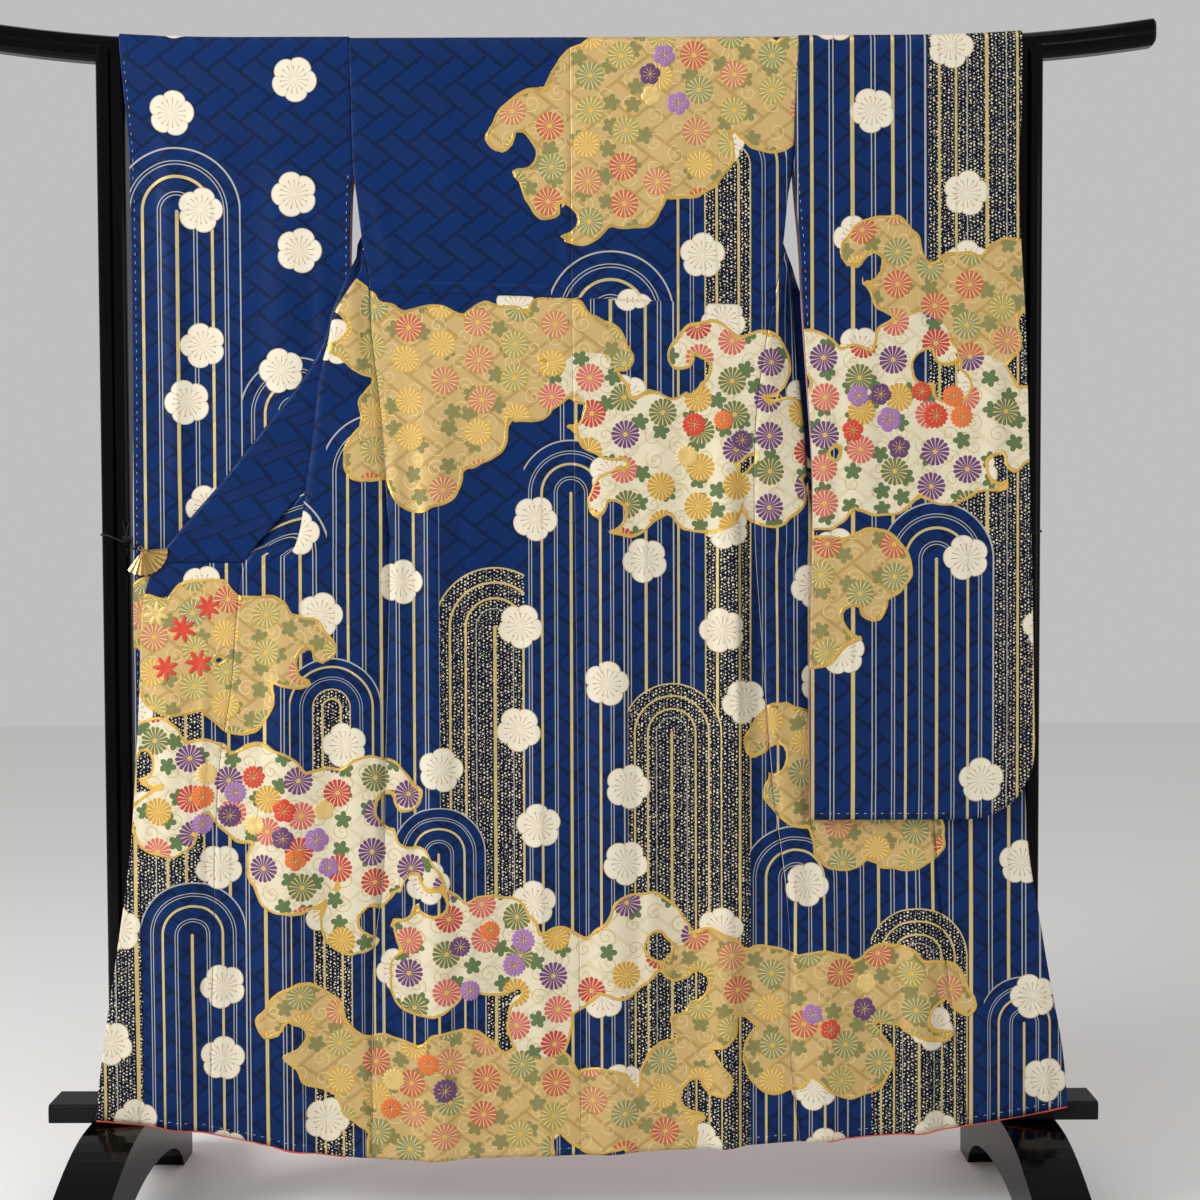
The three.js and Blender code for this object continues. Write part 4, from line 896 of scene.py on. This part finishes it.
    # Couched gold cord round each cloud.
    outline = gold_edge.math("MINIMUM", cream_edge).near(0.0, 0.0022, 0.0006)
    colour = net.mix(outline, colour, linear("d8b25a"))
    bare_gold = in_gold * (1 - shown) * (1 - leafy)
    metal = (gold * (1 - in_cloud) * 0.5).math("MAXIMUM", outline * 0.85).math("MAXIMUM", bare_gold * 0.25)
    rough = 0.42 + lying * 0.14 - metal * 0.1 + plum * 0.1 + in_cream * 0.15
    height = (relief + gold * 0.6 + outline * 3.0 + plum * (1 - in_cloud) * 0.8 + white * 0.5 + in_cloud * 0.3
              + shown * in_cloud * (0.6 + petals * 0.8))
    net.shader.inputs["Specular IOR Level"].default_value = SILK_SHINE
    return net.finish(Base_Color=colour, Roughness=rough, Metallic=metal,
                      Normal=with_height(net, height + warp * 0.3, 0.5))


def with_height(net, height, strength):
    made = net.tree.nodes.new("ShaderNodeBump")
    made.inputs["Strength"].default_value = strength
    made.inputs["Distance"].default_value = 0.0006
    net.feed(made.inputs["Height"], height)
    return Value(net, made.outputs[0])


def lining():
    """Pale lining above, and the red-orange one that shows at the hem below."""
    net = Net("lining")
    place = net.node("TexCoord", {}, out=3)
    height = net.parts(place)[2]
    colour = net.mix(height.below(1.0, 0.12), linear("e9dccb"), linear("d9552f"))
    return net.finish(Base_Color=colour, Roughness=0.55)


def finish(name, colour, rough, metal=0.0):
    net = Net(name)
    for socket, value in (("Base Color", colour), ("Roughness", rough), ("Metallic", metal)):
        net.shader.inputs[socket].default_value = value
    return net.material


def lacquer(name, colour, rough, coat):
    net = Net(name)
    place = net.node("TexCoord", {}, out=3)
    dust = net.node("TexNoise", {}, place, None, 60.0, 4.0)
    for socket, value in (("Base Color", colour), ("Coat Weight", coat), ("Coat Roughness", 0.05),
                          ("Specular IOR Level", 0.08)):
        net.shader.inputs[socket].default_value = value
    return net.finish(Roughness=rough + dust * 0.08)


# The stretch of the opened cloth, in metres from the centre back, that each piece takes its design from.
REACH = {"back": (-0.36, 0.36), "left": (-0.80, -0.25), "right": (0.25, 0.80),
         "sleeve_left": (-1.72, -1.28), "sleeve_right": (1.28, 1.72)}
SILK = {name: silk(f"figured_silk_{name}", reach) for name, reach in REACH.items()}
SILK["plain"] = silk("plain_silk")
LINING = lining()
SLEEVE_LINING = finish("sleeve_lining", linear("b58479"), 0.55)


def silk_edge():
    """The folded edges: blue, with the red lining showing at the hem and the pink one at the wrists."""
    net = Net("silk_edge")
    x, _, z = net.parts(net.node("TexCoord", {}, out=3))
    wrist = (x.math("ABSOLUTE") - 0.6).math("GREATER_THAN", 0.0) * (z - 1.56).math("GREATER_THAN", 0.0)
    colour = net.mix(wrist, linear("08285a"), linear("d98a7a"))
    colour = net.mix(z.below(0.22, 0.01), colour, linear("c2452a"))
    return net.finish(Base_Color=colour, Roughness=0.5)


EDGE = silk_edge()
for node, piece in cloth.items():
    kind, _, side = node.partition("_")
    pattern = {"collar": "plain", "back": "back", "sleeve": node}.get(kind, side)
    for material in (SILK[pattern], SLEEVE_LINING if kind == "sleeve" else LINING, EDGE):
        piece.data.materials.append(material)

BLACK = lacquer("black_lacquer", linear("020202"), 0.10, 0.05)
BOARD = lacquer("board_lacquer", linear("19191c"), 0.36, 0.0)
COVERED_ELASTIC = finish("covered_elastic", linear("0d0d0d"), 0.8)
GILT = finish("gilt", linear("b4935a"), 0.27, 1.0)
STAND = {"rail": BLACK, "post_left": BLACK, "post_right": BLACK, "foot_left": BLACK, "foot_right": BLACK,
         "base_board": BOARD, "clip_loop_left": COVERED_ELASTIC, "clip_loop_right": COVERED_ELASTIC}
for node, material in STAND.items():
    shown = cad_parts[node]
    shown.data.materials.clear()
    shown.data.materials.append(material)


# ---- Small sewn and metal pieces ----
def placed(name, bm, material, rounded=True):
    """One object of its own, in the part's one body, from a filled mesh."""
    bmesh.ops.recalc_face_normals(bm, faces=bm.faces)
    mesh = bpy.data.meshes.new(name)
    for face in bm.faces:
        face.smooth = rounded
    bm.to_mesh(mesh)
    bm.free()
    piece = bpy.data.objects.new(name, mesh)
    bpy.context.scene.collection.objects.link(piece)
    piece.data.materials.append(material)
    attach(piece, "root")
    return piece


def joined(name, build, material, rounded=True):
    """One object whose mesh a function fills."""
    bm = bmesh.new()
    build(bm)
    return placed(name, bm, material, rounded)


def tube(bm, path, radius, sides=5):
    """A round thread along a path given in millimetres."""
    rings = []
    points = [Vector(p) * MM for p in path]
    for i, p in enumerate(points):
        run = points[min(i + 1, len(points) - 1)] - points[max(i - 1, 0)]
        first = run.cross(Vector((0.3, 1, 0.1))).normalized()
        second = run.cross(first).normalized()
        rings.append([bm.verts.new(p + (first * math.cos(a) + second * math.sin(a)) * radius * MM)
                      for a in [2 * math.pi * k / sides for k in range(sides)]])
    for a, b in zip(rings, rings[1:]):
        for k in range(sides):
            bm.faces.new((a[k], a[(k + 1) % sides], b[(k + 1) % sides], b[k]))
    bm.faces.new(rings[0][::-1])
    bm.faces.new(rings[-1])


STITCH = {"pitch": 13, "length": 4, "radius": 0.24}


def stitches(bm, path, lift):
    """Short white basting stitches along a path on the cloth."""
    pitch, length, radius = STITCH["pitch"], STITCH["length"], STITCH["radius"]
    points = [Vector(p) for p in path]
    total = [0.0]
    for a, b in zip(points, points[1:]):
        total.append(total[-1] + (b - a).length)
    chance = random.Random(len(path))
    start = pitch / 2

    def at(s):
        k = 0
        while k < len(total) - 2 and total[k + 1] < s:
            k += 1
        t = (s - total[k]) / max(1e-6, total[k + 1] - total[k])
        return points[k].lerp(points[k + 1], clamp(0, 1, t))

    while start + length < total[-1]:
        begin = start + chance.uniform(-1, 1)
        tube(bm, [at(begin) + Vector((0, -lift, 0)), at(begin + length) + Vector((0, -lift, 0))], radius, 4)
        start += pitch


def sleeve_path(side, t, low, high):
    """A line on a sleeve's near wall, a share t across it."""
    tables = EDGES[side]
    out = []
    for z in spread(60, low, high):
        start = along(tables["side"] if z >= ARMHOLE else tables["sleeve_in"], z)
        x = mix(start + 0.3, along(tables["sleeve_out"], z), t)
        px = SIGN[side] * x
        out.append((px, sleeve_near(side, z) - fold_lift(SLEEVE_FOLDS, px, z) - puckers(px, z, 4.4),
                    z + rail_rise(px) * smooth(1300, 1760, z)))
    return out


def basting(bm):
    for side in ("left", "right"):
        stitches(bm, sleeve_path(side, 0.982, 760, 1545), 1.0)
        stitches(bm, sleeve_path(side, 0.985, 1560, 1745), 1.0)
        stitches(bm, sleeve_path(side, 0.018, 640, ARMHOLE - 10), 1.0)
        low = [(SIGN[side] * x, sleeve_near(side, 622) - 0.8, SLEEVE_BOTTOM + 9)
               for x in spread(40, 365, 560)]
        stitches(bm, low, 1.0)
    for side in ("left", "right"):
        hem = []
        for t in spread(60, 0.03, 0.97):
            x = mix(along(CENTRE, HEM), SIGN[side] * along(EDGES[side]["side"], HEM), t)
            hem.append((x, back_y(HEM + 10) - fold_lift(BACK_FOLDS, x, HEM + 10) - puckers(x, HEM + 10, 1.3),
                        drop_to(x, HEM + 11)))
        stitches(bm, hem, 0.9)
        edge = []
        for t in spread(50, 0.04, 0.96):
            x = mix(along(EDGES[side]["side"], HEM) + 2, along(COLUMNS[side]["free"], HEM), t)
            px = SIGN[side] * x
            edge.append((px, hang_level(side, HEM + 10, x) - fold_lift(FRONT_FOLDS, px, HEM + 10)
                         - puckers(px, HEM + 10, 3.2), drop_to(px, HEM + 11)))
        stitches(bm, edge, 1.0)


joined("basting_stitches", basting, finish("white_thread", linear("eeeae0"), 0.7))


def hem_roll(bm):
    """The red lining rolled out a little below the fronts' hems."""
    for side in ("left", "right"):
        path = []
        for x in spread(60, along(EDGES[side]["side"], HEM) + 40, along(COLUMNS[side]["free"], HEM) - 1):
            px = SIGN[side] * x
            y = hang_level(side, HEM, x) - fold_lift(FRONT_FOLDS, px, HEM) + 0.9
            path.append((px, y, drop_to(px, HEM) - 0.9))
        tube(bm, path, 1.5, 8)


joined("hem_roll", hem_roll, finish("red_lining", linear("d2482a"), 0.5))


# ---- Raised embroidery ----
# Clusters of flowers: x and height of the middle, mm, how many, how far they spread, and their kind.
CLUSTERS = [
    (-600, 880, 9, 58, "leaf"), (-500, 640, 7, 54, "chrysanthemum"), (-415, 590, 6, 50, "plum"),
    (-120, 400, 5, 50, "chrysanthemum"), (-230, 215, 4, 46, "chrysanthemum"), (455, 1205, 5, 46, "plum"),
    (560, 1215, 4, 40, "chrysanthemum"), (160, 1715, 4, 48, "plum"), (400, 320, 4, 44, "plum"),
    (215, 1190, 4, 44, "chrysanthemum"),
]
THREADS = {"scarlet": "c8371c", "gold_thread": "d3a52f", "purple": "5a3162", "lilac": "9a6ba6",
           "orange": "d96a22"}
PETALS = {"plum": 5, "chrysanthemum": 16, "leaf": 7}


def thread(name, code):
    net = Net(f"thread_{name}")
    x, _, z = net.parts(net.node("TexCoord", {}, out=3))
    floss = net.node("TexNoise", {}, net.vector(x * 900, z * 900), None, 1.0, 2.0)
    net.shader.inputs["Sheen Weight"].default_value = 0.2
    colour = net.mix(floss, linear(code), linear("f0d9a0") if name == "gold_thread" else linear(code))
    return net.finish(Base_Color=colour, Roughness=0.3 + floss * 0.25,
                      Metallic=0.45 if name == "gold_thread" else 0.0, Normal=with_height(net, floss, 0.6))


def skin_of(names):
    """The cloth's own middle surface, to lay threads on."""
    points, faces = [], []
    for name in names:
        mesh = cloth[name].data
        base = len(points)
        points += [v.co.copy() for v in mesh.vertices]
        faces += [[base + i for i in face.vertices] for face in mesh.polygons]
    return BVHTree.FromPolygons(points, faces)


SKIN = skin_of(cloth)


def petal_reach(kind, angle):
    """How far a flower's edge stands from its middle, as a share of its radius."""
    if kind == "plum":
        return 0.80 + 0.20 * abs(math.cos(2.5 * angle)) ** 0.5
    if kind == "leaf":
        return 0.40 + 0.60 * abs(math.cos(3.5 * angle)) ** 1.5
    return 0.84 + 0.16 * abs(math.cos(8 * angle)) ** 0.6


def flower(bm, x, z, radius, kind, turned):
    """A low mound of satin stitch with a ridge along each petal."""
    spokes = PETALS[kind] * (8 if kind != "chrysanthemum" else 4)
    rings = []
    under = [(0.12, None), (0.4, None), (0.7, None), (0.9, None)]
    over = [(1, -0.3), (0.985, 0.35), (0.86, 0.85), (0.6, 1.1), (0.32, 0.8), (0.12, 0.35)]
    for share, height in under + over:
        ring = []
        for k in range(spokes):
            angle = 2 * math.pi * k / spokes
            grown = petal_reach(kind, angle) ** (1 if share > 0.5 else share)
            ridge = abs(math.cos(PETALS[kind] / 2 * angle)) ** 0.7
            px = x + radius * share * grown * math.cos(angle + turned)
            pz = z + radius * share * grown * math.sin(angle + turned)
            hit = SKIN.ray_cast(Vector((px * MM, -1, pz * MM)), Vector((0, 1, 0)))[0]
            if hit is None:
                return False
            lift = 0.1 if height is None else 0.55 + height * (0.45 + 0.55 * ridge)
            ring.append((px, hit.y / MM - lift, pz))
        rings.append(ring)
    depths = [p[1] for ring in rings for p in ring]
    if max(depths) - min(depths) > 9:
        return False
    made = [[bm.verts.new(Vector(p) * MM) for p in ring] for ring in rings]
    for a, b in zip(made, made[1:]):
        for k in range(spokes):
            bm.faces.new((a[k], a[(k + 1) % spokes], b[(k + 1) % spokes], b[k]))
    bm.faces.new(made[-1])
    bm.faces.new(made[0][::-1])
    return True


def embroidery():
    meshes = {name: bmesh.new() for name in THREADS}
    chance = random.Random(12)
    for x, z, count, reach, kind in CLUSTERS:
        sewn = []
        tries = 0
        while len(sewn) < count and tries < 200:
            tries += 1
            radius = chance.uniform(15, 19) if kind != "leaf" else chance.uniform(19, 24)
            px, pz = x + chance.uniform(-1, 1) * reach, z + chance.uniform(-1, 1) * reach
            if any(math.hypot(px - qx, pz - qz) < (radius + r) * 0.98 for qx, qz, r in sewn):
                continue
            colours = ("scarlet", "orange", "gold_thread") if kind == "leaf" else tuple(THREADS)
            name = chance.choice(colours)
            if flower(meshes[name], px, pz, radius, kind, chance.uniform(0, 6)):
                sewn.append((px, pz, radius))
                if kind != "leaf" and name != "gold_thread":
                    heart = meshes["gold_thread"]
                    for k in range(9):
                        angle = 2 * math.pi * k / 9
                        path = []
                        for r in (0.5, radius * 0.34, radius * 0.62):
                            sx, sz = px + r * math.cos(angle), pz + r * math.sin(angle)
                            hit = SKIN.ray_cast(Vector((sx * MM, -1, sz * MM)), Vector((0, 1, 0)))[0]
                            if hit:
                                path.append((sx, hit.y / MM - 1.75, sz))
                        if len(path) == 3:
                            tube(heart, path, 0.42, 4)
    for name, bm in meshes.items():
        placed(f"embroidery_{name}", bm, thread(name, THREADS[name]))


embroidery()

# ---- The fan-shaped clips ----
CLIP_AT = (639, 1017)
CLIP_FROM, CLIP_TO = math.radians(-128), math.radians(4)
CLIP_Y = {side: hang_level(side, 1000, 615) for side in SIGN}


def fan(side):
    sign, (cx, cz) = SIGN[side], CLIP_AT

    def point(radius, angle, y):
        # The fan opens inwards, away from its post.
        x, z = sign * (cx - radius * math.cos(angle)), cz + radius * math.sin(angle)
        return Vector((x, CLIP_Y[side] + y, z)) * MM

    def build(bm):
        for face_y, reach in ((-2.2, 38), (2.2, 30)):
            out = math.copysign(1, face_y)
            count = 20
            leaf = []
            for i in range(count + 1):
                angle = mix(CLIP_FROM, CLIP_TO, i / count)
                pleat = 1.3 * out if i % 2 else -0.5 * out
                tip = reach - (0 if i % 2 else 1.4)
                leaf.append([[bm.verts.new(point(r, angle, face_y + pleat * (r / reach) + back * 0.8 * out))
                              for r in (10, 16, 23, tip)] for back in (0, -1)])
            for a, b in zip(leaf, leaf[1:]):
                for k in range(3):
                    bm.faces.new((a[0][k], b[0][k], b[0][k + 1], a[0][k + 1]))
                    bm.faces.new((a[1][k], a[1][k + 1], b[1][k + 1], b[1][k]))
                bm.faces.new((a[0][3], b[0][3], b[1][3], a[1][3]))
                bm.faces.new((a[0][0], a[1][0], b[1][0], b[0][0]))
            for a in (leaf[0], leaf[-1]):
                for k in range(3):
                    bm.faces.new((a[0][k], a[0][k + 1], a[1][k + 1], a[1][k]))
            for i in range(1, count, 2):
                angle = mix(CLIP_FROM, CLIP_TO, i / count)
                tube(bm, [point(r, angle, face_y + 0.5 * out) / MM for r in (1, 13, 24)], 0.75, 6)
            arc = [point(24, mix(CLIP_FROM, CLIP_TO, t), face_y + 0.6 * out) / MM for t in spread(24)]
            tube(bm, arc, 0.5)
        tube(bm, [(sign * cx, CLIP_Y[side] - 3.6, cz), (sign * cx, CLIP_Y[side] + 3.4, cz)], 3.0, 14)
        ring = [(sign * (cx + 4 + 3 * math.cos(a)), CLIP_Y[side], cz + 3 + 3 * math.sin(a))
                for a in spread(18, 0, 2 * math.pi)]
        tube(bm, ring, 0.6, 6)

    piece = joined(f"fan_clip_{side}", build, GILT, rounded=False)
    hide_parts(f"clip_{side}")
    return piece


def knot(side):
    sign = SIGN[side]

    def build(bm):
        for k, (dx, dz) in enumerate(((0, 0), (2.2, 1.6), (-1.8, 2.0))):
            loop = [(sign * (668 + dx) + 2.6 * math.cos(a), -24.6 - 0.9 * math.sin(2 * a + k),
                     1034 + dz + 2.4 * math.sin(a)) for a in spread(16, 0, 2 * math.pi)]
            tube(bm, loop, 1.0, 6)
        for dx, dz in ((-5, 24), (5, 27)):
            tube(bm, [(sign * 668, -24.6, 1036), (sign * (668 + dx * 0.4), -26, 1034 + dz * 0.6),
                      (sign * (668 + dx), -25, 1034 + dz)], 0.8, 6)

    return joined(f"knot_{side}", build, COVERED_ELASTIC)


for side in ("left", "right"):
    fan(side)
    knot(side)


# ---- How each piece is held ----
for node, piece in cloth.items():
    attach(piece, "root")
    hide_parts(node)

# ---- Floor, light and camera ----
bpy.ops.mesh.primitive_plane_add(size=14, location=(0, 0, 0))
floor = bpy.context.object
floor.name = "studio_floor"
floor.data.materials.append(finish("pale_floor", linear("f2f1ef"), 0.7))

scene = bpy.context.scene
scene.view_settings.view_transform = "Standard"
world = bpy.data.worlds.new("studio")
scene.world = world
world.use_nodes = True
world.node_tree.nodes["Background"].inputs[0].default_value = (1, 1, 1, 1)
world.node_tree.nodes["Background"].inputs[1].default_value = 0.52


def softbox(name, place, aim, size, power):
    light = bpy.data.lights.new(name, "AREA")
    light.shape = "RECTANGLE"
    light.size, light.size_y = size
    light.energy = power
    lamp = bpy.data.objects.new(name, light)
    lamp.location = place
    lamp.rotation_euler = (Vector(aim) - Vector(place)).to_track_quat("-Z", "Y").to_euler()
    scene.collection.objects.link(lamp)


softbox("key", (-2.9, -1.7, 2.3), (0, 0, 1.0), (1.0, 1.6), 100)
softbox("fill", (2.6, -2.6, 1.4), (0, 0, 0.9), (1.6, 1.6), 12)
softbox("top", (0.2, -1.2, 3.4), (0, 0, 1.2), (2.0, 1.0), 12)

camera = bpy.data.cameras.new("camera")
camera.lens = 56.0
camera.sensor_width = 36
viewer = bpy.data.objects.new("camera", camera)
viewer.location = (0.043, -2.828, 1.052)
aim = Vector((0.043, -0.03, 0.94)) - viewer.location
turn = aim.to_track_quat("-Z", "Y").to_euler()
turn.rotate_axis("Z", math.radians(-0.2))
viewer.rotation_euler = turn
scene.collection.objects.link(viewer)
scene.camera = viewer

bpy.context.view_layer.update()
